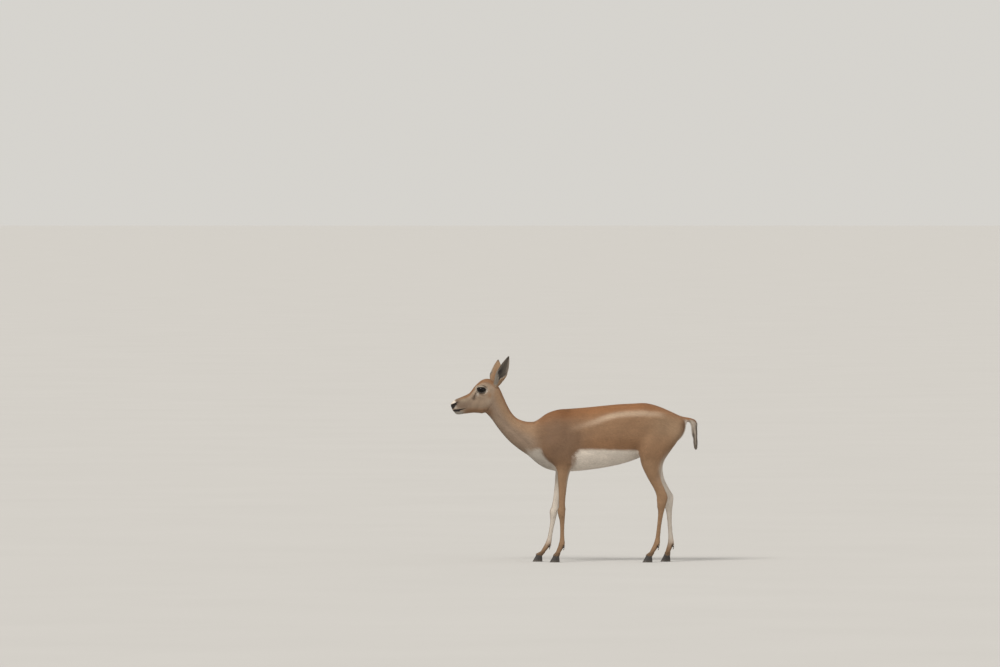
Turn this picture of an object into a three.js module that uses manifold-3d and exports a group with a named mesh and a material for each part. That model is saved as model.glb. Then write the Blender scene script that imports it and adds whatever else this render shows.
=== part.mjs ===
// A standing female blackbuck at life size, as a still museum model made of closed solids.
// Millimetres, +Z up. The head looks towards -X, the animal's left side faces -Y, the floor is Z = 0.
import * as THREE from "three";
import { mergeVertices } from "three/addons/utils/BufferGeometryUtils.js";
import Module from "manifold-3d";

const wasm = await Module();
wasm.setup();

// Driving sizes

const GAP = 0.3; // left between two pieces that touch
const EYE = { x: -449, y: 27.5, z: 826, radius: 22, lid: 3, openLength: 40, openHeight: 26.5 };
const EAR = { length: 170, halfWidth: 29, rootRadius: 14, wall: 2.8, sink: 16, bend: 7, sway: 4 };
const HOOF = { height: 34, length: 48, halfWidth: 8, spread: 8.8, ahead: 22 };
const DEWCLAW = { length: 13, radius: 4.5, height: 71, spread: 9, behind: 12 };
const TAIL_LOCK = { length: 60, width: 14, thickness: 3, rows: 4, each: 3 };

// Sections and lofts

// A station is one flat section across the body. Its midline runs from top to bottom in the side view
// (from front to back on a leg). It is widest at the share "widest" of that line, counted from the
// bottom, and its two halves are superellipses: 2 is an ellipse, more is squarer, less is sharper.
const station = (top, bottom, half, widest = 0.5, upper = 2, lower = 2, y = 0) => [
  ...top,
  ...bottom,
  half,
  widest,
  upper,
  lower,
  y,
];

const spline = (a, b, c, d, t) =>
  0.5 * (2 * b + (c - a) * t + (2 * a - 5 * b + 4 * c - d) * t * t + (3 * b - a - 3 * c + d) * t ** 3);

class Loft {
  constructor(stations) {
    this.stations = stations;
    this.last = stations.length - 1;
  }

  // The section at t, which is 0 at the first station, 1 at the second, and so on.
  at(t) {
    const s = this.stations;
    const i = Math.min(Math.floor(t), this.last - 1);
    const before = s[Math.max(i - 1, 0)];
    const after = s[Math.min(i + 2, this.last)];
    const [tx, tz, bx, bz, half, widest, upper, lower, y] = s[i].map((value, k) =>
      spline(before[k], value, s[i + 1][k], after[k], t - i),
    );
    return { tx, tz, bx, bz, half, widest, upper, lower, y };
  }

  // The point of section t at an angle round it: 0 at the top, a quarter turn at +Y, half a turn at the bottom.
  point(t, angle, grow = 0, along = 0) {
    const s = this.at(t);
    const length = Math.hypot(s.tx - s.bx, s.tz - s.bz);
    const ux = (s.tx - s.bx) / length;
    const uz = (s.tz - s.bz) / length;
    const c = Math.cos(angle);
    const power = 2 / (c > 0 ? s.upper : s.lower);
    const reach = (c > 0 ? 1 - s.widest : s.widest) * length + grow;
    const up = s.widest * length + Math.sign(c) * Math.abs(c) ** power * reach;
    const side = Math.sign(Math.sin(angle)) * Math.abs(Math.sin(angle)) ** power * (s.half + grow);
    return new THREE.Vector3(s.bx + ux * up - uz * along, s.y + side, s.bz + uz * up + ux * along);
  }

  // Whether the loft runs along (1) or against (-1) the normal of its sections.
  heading(t) {
    const s = this.at(t);
    const next = this.at(t + 0.1);
    const dx = next.tx + next.bx - s.tx - s.bx;
    const dz = next.tz + next.bz - s.tz - s.bz;
    return Math.sign(dz * (s.tx - s.bx) - dx * (s.tz - s.bz));
  }

  // The half width of the body at a place of the side view, found on the section that passes through it.
  surface(x, z, side, from = 0, to = this.last) {
    let best = null;
    let distance = Infinity;
    for (let t = from; t <= to; t += 0.02) {
      for (let turn = 0.02; turn < 0.99; turn += 0.01) {
        const p = this.point(t, Math.PI * turn * side);
        const d = Math.hypot(p.x - x, p.z - z);
        if (d < distance) {
          distance = d;
          best = p;
        }
      }
    }
    return best;
  }

  // The closed solid between t0 and t1. Each end moves out by "out" along the loft.
  solid(t0, t1, rings, segments, grow = 0, out = -GAP / 2) {
    const points = [];
    const heading = this.heading(t0);
    for (let i = 0; i <= rings; i++) {
      const t = t0 + ((t1 - t0) * i) / rings;
      const along = heading * (i === 0 ? -out : i === rings ? out : 0);
      for (let j = 0; j < segments; j++)
        points.push(this.point(t, (2 * Math.PI * j) / segments, grow, along));
    }
    return closedTube(points, rings, segments);
  }
}

// Rings of points joined into one closed tube with flat ends, its faces out.
function closedTube(points, rings, segments) {
  const faces = [];
  for (let i = 0; i < rings; i++) {
    for (let j = 0; j < segments; j++) {
      const a = i * segments + j;
      const b = i * segments + ((j + 1) % segments);
      faces.push(a, b, a + segments, b, b + segments, a + segments);
    }
  }
  [0, rings].forEach((ring) => {
    const first = ring * segments;
    const middle = points.slice(first, first + segments);
    const centre = middle.reduce((sum, p) => sum.clone().add(p)).divideScalar(segments);
    points.push(centre);
    for (let j = 0; j < segments; j++) {
      const pair = [first + j, first + ((j + 1) % segments)];
      faces.push(...(ring ? pair : pair.reverse()), points.length - 1);
    }
  });
  let volume = 0;
  for (let i = 0; i < faces.length; i += 3) {
    const [a, b, c] = faces.slice(i, i + 3).map((k) => points[k]);
    volume += a.dot(b.clone().cross(c));
  }
  if (volume < 0) faces.reverse();
  return new THREE.BufferGeometry().setFromPoints(points).setIndex(faces);
}

// Joining and cutting

function solidOf(geometry) {
  const bare = geometry.clone();
  bare.deleteAttribute("normal");
  bare.deleteAttribute("uv");
  const merged = mergeVertices(bare, 1e-4);
  return new wasm.Manifold(
    new wasm.Mesh({
      numProp: 3,
      vertProperties: merged.attributes.position.array,
      triVerts: new Uint32Array(merged.index.array),
    }),
  );
}

// The largest closed surface of a solid, as a geometry.
function geometryOf(solid) {
  const pieces = solid.decompose().sort((a, b) => b.volume() - a.volume());
  const mesh = pieces[0].getMesh();
  return new THREE.BufferGeometry()
    .setAttribute("position", new THREE.BufferAttribute(mesh.vertProperties, 3))
    .setIndex(new THREE.BufferAttribute(mesh.triVerts, 1));
}

const join = (solids) => solids.reduce((all, next) => all.add(next));
const cutAll = (solid, cutters) => cutters.reduce((left, cutter) => left.subtract(cutter), solid);

const SIDES = [
  { name: "left", sign: -1 },
  { name: "right", sign: 1 },
];

// Trunk, neck and head are one loft, from the root of the tail to the nose

const BODY = new Loft([
  station([534, 680], [533, 646], 22),
  station([526, 694], [520, 608], 56, 0.5, 2.1, 2.1),
  station([500, 706], [490, 576], 77, 0.5, 2.1, 2.1),
  station([455, 727], [443, 556], 88, 0.5, 2.1, 2),
  station([400, 750], [388, 534], 90, 0.52, 2.1, 2),
  station([340, 765], [333, 508], 88, 0.52, 2, 2),
  station([280, 763], [276, 485], 94, 0.5, 2, 2.1),
  station([215, 760], [213, 466], 101, 0.48, 2, 2.1),
  station([140, 753], [140, 451], 102, 0.46, 1.95, 2.1),
  station([60, 745], [62, 440], 96, 0.45, 1.9, 2.05),
  station([-15, 739], [-13, 433], 88, 0.45, 1.85, 2),
  station([-80, 734], [-80, 433], 81, 0.45, 1.8, 2),
  station([-132, 717], [-140, 447], 73, 0.46, 1.8, 2),
  station([-168, 692], [-186, 475], 65, 0.48, 1.9, 2),
  station([-194, 677], [-222, 507], 57, 0.5, 2, 2),
  station([-220, 675], [-265, 536], 48, 0.5, 2, 2),
  station([-250, 680], [-311, 573], 42, 0.5, 2, 2),
  station([-280, 694], [-345, 609], 39, 0.5, 2, 2),
  station([-305, 721], [-372, 643], 37.5, 0.5, 2, 2),
  station([-326, 758], [-402, 686], 38, 0.5, 2, 2),
  station([-344, 797], [-428, 714], 39.5, 0.52, 2, 2),
  station([-364, 838], [-436, 717], 42, 0.58, 2.1, 2),
  station([-389, 868], [-440, 714], 45, 0.6, 2.2, 2),
  station([-415, 880], [-449, 713], 47, 0.63, 2.3, 2),
  station([-442, 876], [-464, 715], 48, 0.66, 2.3, 1.9),
  station([-465, 860], [-482, 716], 45, 0.66, 2.3, 1.9),
  station([-485, 839], [-500, 715], 38, 0.6, 2.2, 1.9),
  station([-505, 813], [-517, 713], 31.5, 0.54, 2.1, 2),
  station([-528, 800], [-534, 711], 27.5, 0.52, 2.1, 2.1),
  station([-552, 790], [-551, 709], 25.5, 0.5, 2.1, 2.2),
  station([-573, 781], [-568, 710], 24, 0.52, 2.2, 2.2),
  station([-588, 771], [-581, 720], 21, 0.54, 2.3, 2.2),
  station([-596, 760], [-590, 734], 13, 0.5, 2.2, 2.2),
]);
const CUT = { rump: 4.5, barrel: 9.5, neck: 14, head: 20.6 };
const TRUNK_SEGMENTS = 26;
const HEAD_SEGMENTS = 26;

// Legs are lofts of level sections from high on the trunk down to the crown of the hoof

// One leg section: height, distance of its front and back from the leg's own line, half width,
// place of that line along the body, and distance from the middle plane.
const level = (z, front, back, half, x, y, square = 2) => ({ z, front, back, half, x, y, square });

const FORELEG = [
  level(655, 52, 40, 22, -62, 46),
  level(625, 74, 56, 30, -62, 50, 2.1),
  level(585, 92, 70, 36, -64, 55, 2.2),
  level(540, 98, 68, 38, -66, 58, 2.2),
  level(500, 80, 62, 35, -60, 60, 2.1),
  level(468, 50, 48, 28, -52, 60),
  level(440, 36, 35, 22.5, -54, 59),
  level(400, 27, 26, 18, -58, 57),
  level(350, 21, 20.5, 15, -61, 55),
  level(296, 16.5, 17, 13, -64, 53),
  level(262, 16.5, 18, 14.5, -66, 52),
  level(243, 18.5, 19, 16, -67, 52, 2.2),
  level(222, 16.5, 18, 14.5, -67, 52, 2.2),
  level(200, 11.5, 15.5, 11, -66, 51),
  level(150, 9.5, 13, 9.3, -66, 51),
  level(108, 10.5, 14.5, 10.3, -67, 51),
  level(86, 13.5, 17.5, 13.2, -69, 51),
  level(68, 13.5, 15, 13, -75, 51, 2.2),
  level(50, 14, 13, 14, -83, 51, 2.3),
];
const HINDLEG = [
  level(700, 48, 44, 22, 436, 38),
  level(665, 76, 76, 32, 432, 52, 2.1),
  level(625, 94, 92, 40, 426, 57, 2.2),
  level(580, 98, 84, 45, 410, 60, 2.2),
  level(535, 86, 68, 44, 392, 63, 2.2),
  level(490, 64, 56, 37, 376, 66, 2.1),
  level(450, 46, 45, 29, 374, 68),
  level(400, 32, 35, 21, 388, 67),
  level(352, 21, 35, 15.5, 408, 65),
  level(318, 18, 39, 14, 420, 63),
  level(300, 20, 34, 15, 425, 62, 2.2),
  level(276, 19, 26, 15, 428, 61, 2.2),
  level(240, 13, 18, 11.8, 429, 60),
  level(180, 10.3, 13.8, 9.8, 427, 59),
  level(118, 10.8, 15, 10.5, 425, 58),
  level(90, 13.5, 18, 13.2, 423, 58),
  level(70, 13.5, 15, 13, 416, 58, 2.2),
  level(51, 14, 13, 14, 408, 58, 2.3),
];
// How far each foot stands ahead of (-) or behind (+) the leg's own line, in a quiet walking stance.
const STANCE = {
  fore: { left: 4, right: -78, from: 520 },
  hind: { left: -42, right: 46, from: 540 },
};
const LEG_SEGMENTS = 16;
const LEGS = {
  fore: { levels: FORELEG, names: ["foreleg", "fore_cannon", "fore_pastern"], cuts: [11.5, 16.4] },
  hind: { levels: HINDLEG, names: ["thigh", "hind_shank", "hind_cannon", "hind_pastern"], cuts: [5.6, 10.4, 15.4] },
};

// How far a stance carries the leg along the body at a height.
function stride(kind, side, z) {
  const { from } = STANCE[kind];
  const share = THREE.MathUtils.clamp((from - z) / from, 0, 1);
  return STANCE[kind][side.name] * share ** 1.3;
}

function legLoft(kind, side) {
  const { levels } = LEGS[kind];
  const stations = levels.map(({ z, front, back, half, x, y, square }) => {
    const middle = x + stride(kind, side, z);
    return station([middle - front, z], [middle + back, z], half, 0.5, square, square, side.sign * y);
  });
  const foot = footPlace(kind, side);
  stations.push(
    station([foot.x - 15, crownHeight(-15)], [foot.x + 12, crownHeight(12)], 16, 0.5, 2.3, 2.3, foot.y),
  );
  return new Loft(stations);
}

// The middle of the crown of a foot's hooves.
function footPlace(kind, side) {
  const lowest = LEGS[kind].levels.at(-1);
  return new THREE.Vector3(
    lowest.x + stride(kind, side, 0) - (HOOF.ahead - 14),
    side.sign * lowest.y,
    HOOF.height,
  );
}

// Hooves: each claw is its own horny shoe, sharp in front, flat underneath

// The crown slopes down towards the heel.
const crownHeight = (x) => HOOF.height - 0.44 * x - 1.6;

function claw(kind, side, inner) {
  const foot = footPlace(kind, side);
  const y = foot.y + side.sign * (inner ? -1 : 1) * HOOF.spread;
  const toe = HOOF.length - 13;
  const shape = (front, top, back, bottom, half) =>
    station([foot.x - front, top], [foot.x + back, bottom], half, 0.42, 1.7, 2.2, y);
  const { height, halfWidth } = HOOF;
  return new Loft([
    shape(14.5, crownHeight(-14.5) - GAP, 11, crownHeight(11) - GAP, halfWidth - 0.9),
    shape(21, height * 0.72, 12.5, height * 0.5, halfWidth - 0.2),
    shape(28, height * 0.36, 13, height * 0.22, halfWidth),
    shape(toe, 0, 13, 0, halfWidth + 0.2),
  ]).solid(0, 3, 4, 10, 0, 0);
}

// A false hoof behind the fetlock, a short blunt cone that points down and back.
function dewclaw(kind, side, inner, grow = 0) {
  const across = side.sign * (inner ? -1 : 1);
  const fetlock = LEGS[kind].levels.find(({ z }) => z < 95);
  const x = fetlock.x + stride(kind, side, DEWCLAW.height) + DEWCLAW.behind;
  const y = side.sign * fetlock.y + across * DEWCLAW.spread;
  const { radius, length, height } = DEWCLAW;
  return new Loft([
    station([x - 7, height + 6], [x - 3, height - 1], radius * 0.8, 0.5, 2, 2, y - across * 3),
    station([x + 1, height + 5], [x + 2, height - 4], radius, 0.5, 2, 2, y),
    station([x + 3, height - 0.5], [x - 1, height - 7.5], radius * 0.95, 0.5, 2, 2, y + across),
    station([x + 0.5, height - length + 1.5], [x - 3.5, height - length], radius * 0.55, 0.5, 2, 2, y + across),
  ]).solid(0, 3, 3, 7, grow, grow * 0.4);
}

// Ears: a leaf-shaped horn of gristle, hollowed from its open side

function earLofts(side) {
  const outer = [];
  const hollow = [];
  const steps = 9;
  for (let i = 0; i <= steps; i++) {
    const u = i / steps;
    const z = u * EAR.length - EAR.sink;
    const leaf = Math.sin(Math.PI * Math.min(1, 0.16 + 0.84 * u ** 0.9)) ** 0.8;
    const half = Math.max(1.6, THREE.MathUtils.lerp(EAR.rootRadius, EAR.halfWidth, Math.min(1, u * 2.6)) * leaf);
    const depth = THREE.MathUtils.lerp(EAR.rootRadius, 4, Math.min(1, u * 1.15));
    const bend = EAR.bend * u * u;
    const sway = -side.sign * EAR.sway * Math.sin(Math.PI * u);
    const open = 0.55 * depth * (1 - u) + 0.6;
    outer.push(station([bend + open, z], [bend - depth, z], half, 0.62, 2.2, 2, sway));
    const inside = Math.max(0.9, half - EAR.wall * (1 - 0.45 * u));
    const floor = Math.max(0.9, depth - EAR.wall * (1.25 - 0.6 * u));
    hollow.push(station([bend + open + 14, z], [bend - floor, z], inside, 0.45, 2.4, 1.9, sway));
  }
  return { outer: new Loft(outer), hollow: new Loft(hollow), steps };
}

// Stands an ear on the head: "back" and "out" tilt it in degrees, "turn" aims its open side, and "forward"
// moves its root along the head.
const EAR_SET = {
  left: { back: 23, out: 8, turn: 116, forward: 0 },
  right: { back: 11, out: 36, turn: 94, forward: 13 },
};
const EAR_ROOT = { x: -379, y: 27, z: 851 };

function earPlacement(side) {
  const { back, out, turn, forward } = EAR_SET[side.name];
  const radians = THREE.MathUtils.degToRad;
  const matrix = new THREE.Matrix4().makeTranslation(EAR_ROOT.x - forward, side.sign * EAR_ROOT.y, EAR_ROOT.z);
  matrix.multiply(new THREE.Matrix4().makeRotationY(radians(back)));
  matrix.multiply(new THREE.Matrix4().makeRotationX(radians(-side.sign * out)));
  matrix.multiply(new THREE.Matrix4().makeRotationZ(radians(180 - side.sign * turn)));
  return matrix;
}

function ear(side) {
  const { outer, hollow, steps } = earLofts(side);
  const cup = outer.solid(0, steps, 13, 16, 0, 0);
  const cavity = hollow.solid(2.1, steps, 11, 14, 0, 6);
  const place = earPlacement(side);
  return solidOf(cup).subtract(solidOf(cavity)).transform(place.elements);
}

function earSocket(side) {
  const { outer, steps } = earLofts(side);
  return solidOf(outer.solid(0, 2, 3, 16, GAP, GAP)).transform(earPlacement(side).elements);
}

// Eyes, lids and the gland in front of each eye

const ball = (radius, x, y, z, stretch = [1, 1, 1]) =>
  solidOf(
    new THREE.SphereGeometry(radius, 16, 10)
      .rotateX(Math.PI / 2)
      .scale(...stretch)
      .translate(x, y, z),
  );

// The almond between the lids, as a prism that runs outwards from the middle of the eye.
function lidOpening(side) {
  const { x, y, z, openLength, openHeight } = EYE;
  const shape = new THREE.Shape();
  shape.moveTo(-openLength / 2, 1);
  shape.quadraticCurveTo(-openLength * 0.16, openHeight * 1.04, openLength / 2, 0);
  shape.quadraticCurveTo(openLength * 0.03, -openHeight * 0.98, -openLength / 2, 1);
  const prism = new THREE.ExtrudeGeometry(shape, { depth: 30, bevelEnabled: false, curveSegments: 9 });
  prism.rotateX(Math.PI / 2); // the shape's own up becomes +Z, and the prism runs towards -Y
  return solidOf(prism.translate(x, side.sign > 0 ? y + 34 : -y - 4, z));
}

function lids(side) {
  return ball(EYE.radius + EYE.lid, EYE.x, side.sign * (EYE.y - 0.6), EYE.z, [1.16, 1, 1]);
}

// Grooves that follow the surface of the head: the mouth, the gland and the nostrils

// A groove of diamond section along points of the head's surface, given in the side view.
function groove(points, width, depth) {
  const path = new THREE.CatmullRomCurve3(points);
  const shape = new THREE.Shape();
  shape.moveTo(width, 0);
  shape.lineTo(0, depth);
  shape.lineTo(-width, 0);
  shape.lineTo(0, -depth);
  return solidOf(
    new THREE.ExtrudeGeometry(shape, { steps: points.length * 2, bevelEnabled: false, extrudePath: path }),
  );
}

const onHead = (x, z, sign) => BODY.surface(x, z, sign, 22, 32);

const MOUTH = [
  [-521, 738],
  [-534, 734.5],
  [-549, 732],
  [-564, 730],
  [-578, 729.5],
];

// One groove from the left corner of the mouth round the front to the right corner.
function mouthGroove() {
  const right = MOUTH.map(([x, z]) => onHead(x, z, 1));
  const left = MOUTH.map(([x, z]) => onHead(x, z, -1)).reverse();
  const front = new THREE.Vector3(-588.5, 0, 730);
  return groove([...right, front, ...left], 1.7, 3.4);
}

function nostril(side) {
  const ends = [
    [-593, 748],
    [-587, 753],
    [-579, 757],
    [-571, 757],
  ];
  return groove(
    ends.map(([x, z]) => onHead(x, z, side.sign)),
    2,
    5,
  );
}

const GLAND = { x: -480, z: 799, length: 14, width: 3.4, tilt: 0.16 };

function gland(side) {
  const skin = onHead(GLAND.x, GLAND.z, side.sign);
  return solidOf(
    new THREE.SphereGeometry(1, 10, 8)
      .scale(GLAND.width, 5, GLAND.length)
      .rotateY(-GLAND.tilt)
      .translate(skin.x, skin.y + side.sign * 1.5, skin.z),
  );
}

// The bare pad between the nostrils, cut out of the tip of the muzzle.
const nosePadShape = (grow) => ball(1, -602, 0, 749, [18 + grow, 15 + grow, 13.5 + grow]);

// The tail: a flat tapered core with a fringe of locks

const TAIL = new Loft([
  station([512, 700], [516, 672], 15),
  station([532, 700], [534, 672], 16),
  station([557, 698], [549, 672], 16),
  station([579, 684], [552, 650], 15.5),
  station([586, 660], [556, 632], 14),
  station([588, 629], [562, 606], 12),
  station([587, 601], [568, 586], 9),
  station([583, 577], [576, 571], 4.5),
]);

// A flat, tapered lock of six sides: rings along a path that bends, thinnest at the tip.
function lock(root, along, flat, length, width, thickness, bend) {
  const rings = 2;
  const segments = 6;
  const points = [];
  const lie = flat.clone().cross(along).normalize();
  for (let i = 0; i <= rings; i++) {
    const u = i / rings;
    const middle = root.clone().addScaledVector(along, length * u).addScaledVector(bend, u * u);
    const taper = Math.sqrt(1 - 0.94 * u) * (0.72 + 0.28 * Math.sin(Math.PI * Math.min(1, u + 0.2)));
    for (let j = 0; j < segments; j++) {
      const angle = (2 * Math.PI * j) / segments;
      points.push(
        middle
          .clone()
          .addScaledVector(lie, (Math.cos(angle) * width * taper) / 2)
          .addScaledVector(flat, (Math.sin(angle) * thickness * taper) / 2),
      );
    }
  }
  return solidOf(closedTube(points, rings, segments));
}

function tail() {
  const core = solidOf(TAIL.solid(0, TAIL.last, 12, 10, 0, 0));
  const locks = [];
  const { rows, each, length, width, thickness } = TAIL_LOCK;
  for (let row = 0; row < rows; row++) {
    const t = 3.1 + (row * 3.3) / (rows - 1);
    for (let k = 0; k < each; k++) {
      const across = each === 1 ? 0 : (2 * k) / (each - 1) - 1;
      const angle = Math.PI * (0.5 + 0.4 * across);
      const shrink = 1 - 0.08 * row;
      for (const sign of [-1, 1]) {
        const skin = TAIL.point(t, sign * angle, -3);
        const beyond = TAIL.point(Math.min(t + 0.6, TAIL.last), sign * angle, 0);
        const along = beyond.sub(skin).normalize();
        const out = new THREE.Vector3(0, sign, 0);
        const flat = out.clone().cross(along).normalize();
        along.addScaledVector(out, 0.1 * Math.sin(angle)).normalize();
        locks.push(
          lock(skin, along, flat, length * shrink, width, thickness, new THREE.Vector3(-3, -sign * 5, -4)),
        );
      }
    }
  }
  return join([core, ...locks]);
}

// Everything in place

const COAT = new THREE.MeshStandardMaterial({ color: 0x9a7350, roughness: 0.9, metalness: 0 });
const PALE = new THREE.MeshStandardMaterial({ color: 0xd8cfc2, roughness: 0.9, metalness: 0 });
const BROWN = new THREE.MeshStandardMaterial({ color: 0x8a6a4c, roughness: 0.9, metalness: 0 });
const HORN = new THREE.MeshStandardMaterial({ color: 0x1c1917, roughness: 0.45, metalness: 0 });
const NOSE = new THREE.MeshStandardMaterial({ color: 0x141213, roughness: 0.35, metalness: 0 });
const GLOSS = new THREE.MeshStandardMaterial({ color: 0x0c0809, roughness: 0.05, metalness: 0 });

const animal = new THREE.Group();

function add(name, shape, material) {
  const geometry = shape.isBufferGeometry ? shape : geometryOf(shape);
  const mesh = new THREE.Mesh(geometry, material);
  mesh.name = name;
  animal.add(mesh);
}

function buildLegs() {
  const sockets = [];
  for (const [kind, { names, cuts, levels }] of Object.entries(LEGS)) {
    for (const side of SIDES) {
      const loft = legLoft(kind, side);
      const ends = [0, ...cuts, levels.length];
      const rings = Math.round(ends[1] * 1.5);
      sockets.push(solidOf(loft.solid(0, ends[1], rings, LEG_SEGMENTS, GAP * 1.6, GAP)));
      names.forEach((name, i) => {
        const rings = Math.max(3, Math.round((ends[i + 1] - ends[i]) * 1.5));
        let piece = solidOf(loft.solid(ends[i], ends[i + 1], rings, LEG_SEGMENTS));
        if (name.endsWith("pastern") || name.endsWith("cannon"))
          piece = cutAll(piece, [false, true].map((inner) => solidOf(dewclaw(kind, side, inner, GAP * 4))));
        add(`${name}_${side.name}`, piece, name.endsWith("cannon") ? PALE : COAT);
      });
      for (const inner of [false, true]) {
        const where = inner ? "inner" : "outer";
        add(`${kind}_hoof_${side.name}_${where}`, claw(kind, side, inner), HORN);
        add(`${kind}_dewclaw_${side.name}_${where}`, dewclaw(kind, side, inner), HORN);
      }
    }
  }
  return sockets;
}

function buildTrunk(sockets) {
  const tailSocket = solidOf(TAIL.solid(0, TAIL.last, 12, 10, GAP * 1.3, GAP));
  const parts = [
    ["rump", 0, CUT.rump, 9],
    ["barrel", CUT.rump, CUT.barrel, 8],
    ["chest", CUT.barrel, CUT.neck, 9],
    ["neck", CUT.neck, CUT.head, 13],
  ];
  for (const [name, from, to, rings] of parts) {
    const whole = solidOf(BODY.solid(from, to, rings, TRUNK_SEGMENTS));
    add(name, cutAll(whole, [...sockets, tailSocket]), COAT);
  }
  add("tail", tail(), BROWN);
}

function buildHead() {
  let head = solidOf(BODY.solid(CUT.head, BODY.last, 24, HEAD_SEGMENTS));
  const { x, y, z, radius } = EYE;
  for (const side of SIDES) {
    const at = side.sign * y;
    const orbit = ball(1, x - 1, at, z + 1, [29, 20.5, 25]);
    head = join([head, orbit, lids(side)]);
  }
  for (const side of SIDES) {
    const at = side.sign * y;
    const cutters = [ball(radius + GAP, x, at, z), lidOpening(side), earSocket(side), gland(side)];
    head = cutAll(head, cutters);
    add(`eye_${side.name}`, ball(radius, x, at, z), GLOSS);
    add(`ear_${side.name}`, ear(side), COAT);
  }
  head = head.subtract(mouthGroove());
  const nostrils = SIDES.map(nostril);
  add("nose", cutAll(head.intersect(nosePadShape(0)), nostrils), NOSE);
  add("head", cutAll(head, [nosePadShape(GAP), ...nostrils]), COAT);
}

buildTrunk(buildLegs());
buildHead();

// The origin is on the floor under the middle of the whole model.
const box = new THREE.Box3().setFromObject(animal);
const middle = box.getCenter(new THREE.Vector3());
animal.position.set(-middle.x, -middle.y, -box.min.z);

export default animal;
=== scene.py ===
"""A standing female blackbuck in her short fawn coat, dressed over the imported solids.

Shapes are worked out in millimetres in the animal's own frame (head towards -X, left side -Y, floor Z = 0)
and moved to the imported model's frame in metres when each mesh is made.
"""

import bpy
import numpy as np
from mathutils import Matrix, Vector
from mathutils.bvhtree import BVHTree
from mathutils.kdtree import KDTree


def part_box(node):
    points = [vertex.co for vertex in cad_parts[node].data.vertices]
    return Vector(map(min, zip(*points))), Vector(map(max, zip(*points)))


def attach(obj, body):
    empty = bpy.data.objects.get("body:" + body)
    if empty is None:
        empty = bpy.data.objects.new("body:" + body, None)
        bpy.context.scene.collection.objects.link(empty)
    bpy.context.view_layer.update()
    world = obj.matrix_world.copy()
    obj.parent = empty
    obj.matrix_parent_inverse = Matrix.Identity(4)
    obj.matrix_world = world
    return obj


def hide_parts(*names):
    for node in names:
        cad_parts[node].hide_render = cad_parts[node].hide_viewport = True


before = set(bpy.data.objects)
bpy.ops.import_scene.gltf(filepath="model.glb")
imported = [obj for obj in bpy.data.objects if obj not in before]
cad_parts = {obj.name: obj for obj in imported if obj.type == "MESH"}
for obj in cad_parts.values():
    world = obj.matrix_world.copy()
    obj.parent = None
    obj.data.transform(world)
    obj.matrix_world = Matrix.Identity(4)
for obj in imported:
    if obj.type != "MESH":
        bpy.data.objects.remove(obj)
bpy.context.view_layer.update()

# Sizes, as in the solids

EYE = {"x": -449, "y": 27.5, "z": 826, "radius": 22, "open": 19.2, "above": 9.8, "below": 12}
EAR = {"length": 170, "half": 29, "root": 14, "wall": 2.6, "sink": 16, "bend": 7, "sway": 4}
EAR_SET = {
    -1: {"back": 23, "out": 8, "turn": 116, "forward": 0},
    1: {"back": 11, "out": 36, "turn": 94, "forward": 13},
}
EAR_ROOT = (-379, 27, 851)
HOOF = {"height": 34, "length": 48, "half": 8, "spread": 8.8, "ahead": 22}
DEWCLAW = {"length": 13, "radius": 4.5, "height": 71, "spread": 9, "behind": 12}
STANCE = {"fore": {-1: 4, 1: -78, "from": 520}, "hind": {-1: -42, 1: 46, "from": 540}}
SIDES = {-1: "left", 1: "right"}
LEGS = [(kind, side) for kind in ("fore", "hind") for side in SIDES]
FETLOCK_TOP = 95

# top x, z; bottom x, z; half width; level of the widest place; upper and lower squareness
BODY = [
    (534, 680, 533, 646, 22, 0.5, 2, 2),
    (526, 694, 520, 608, 56, 0.5, 2.1, 2.1),
    (500, 706, 490, 576, 77, 0.5, 2.1, 2.1),
    (455, 727, 443, 556, 88, 0.5, 2.1, 2),
    (400, 750, 388, 534, 90, 0.52, 2.1, 2),
    (340, 765, 333, 508, 88, 0.52, 2, 2),
    (280, 763, 276, 485, 94, 0.5, 2, 2.1),
    (215, 760, 213, 466, 101, 0.48, 2, 2.1),
    (140, 753, 140, 451, 102, 0.46, 1.95, 2.1),
    (60, 745, 62, 440, 96, 0.45, 1.9, 2.05),
    (-15, 739, -13, 433, 88, 0.45, 1.85, 2),
    (-80, 734, -80, 433, 81, 0.45, 1.8, 2),
    (-132, 717, -140, 447, 73, 0.46, 1.8, 2),
    (-168, 692, -186, 475, 65, 0.48, 1.9, 2),
    (-194, 677, -222, 507, 57, 0.5, 2, 2),
    (-220, 675, -265, 536, 48, 0.5, 2, 2),
    (-250, 680, -311, 573, 42, 0.5, 2, 2),
    (-280, 694, -345, 609, 39, 0.5, 2, 2),
    (-305, 721, -372, 643, 37.5, 0.5, 2, 2),
    (-326, 758, -402, 686, 38, 0.5, 2, 2),
    (-344, 797, -428, 714, 39.5, 0.52, 2, 2),
    (-364, 838, -436, 717, 42, 0.58, 2.1, 2),
    (-389, 868, -440, 714, 45, 0.6, 2.2, 2),
    (-415, 880, -449, 713, 47, 0.63, 2.3, 2),
    (-442, 876, -464, 715, 48, 0.66, 2.3, 1.9),
    (-465, 860, -482, 716, 45, 0.66, 2.3, 1.9),
    (-485, 839, -500, 715, 38, 0.6, 2.2, 1.9),
    (-505, 813, -517, 713, 31.5, 0.54, 2.1, 2),
    (-528, 800, -534, 711, 27.5, 0.52, 2.1, 2.1),
    (-552, 790, -551, 709, 25.5, 0.5, 2.1, 2.2),
    (-573, 781, -568, 710, 24, 0.52, 2.2, 2.2),
    (-588, 771, -581, 720, 21, 0.54, 2.3, 2.2),
    (-596, 760, -590, 734, 13, 0.5, 2.2, 2.2),
]
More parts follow.
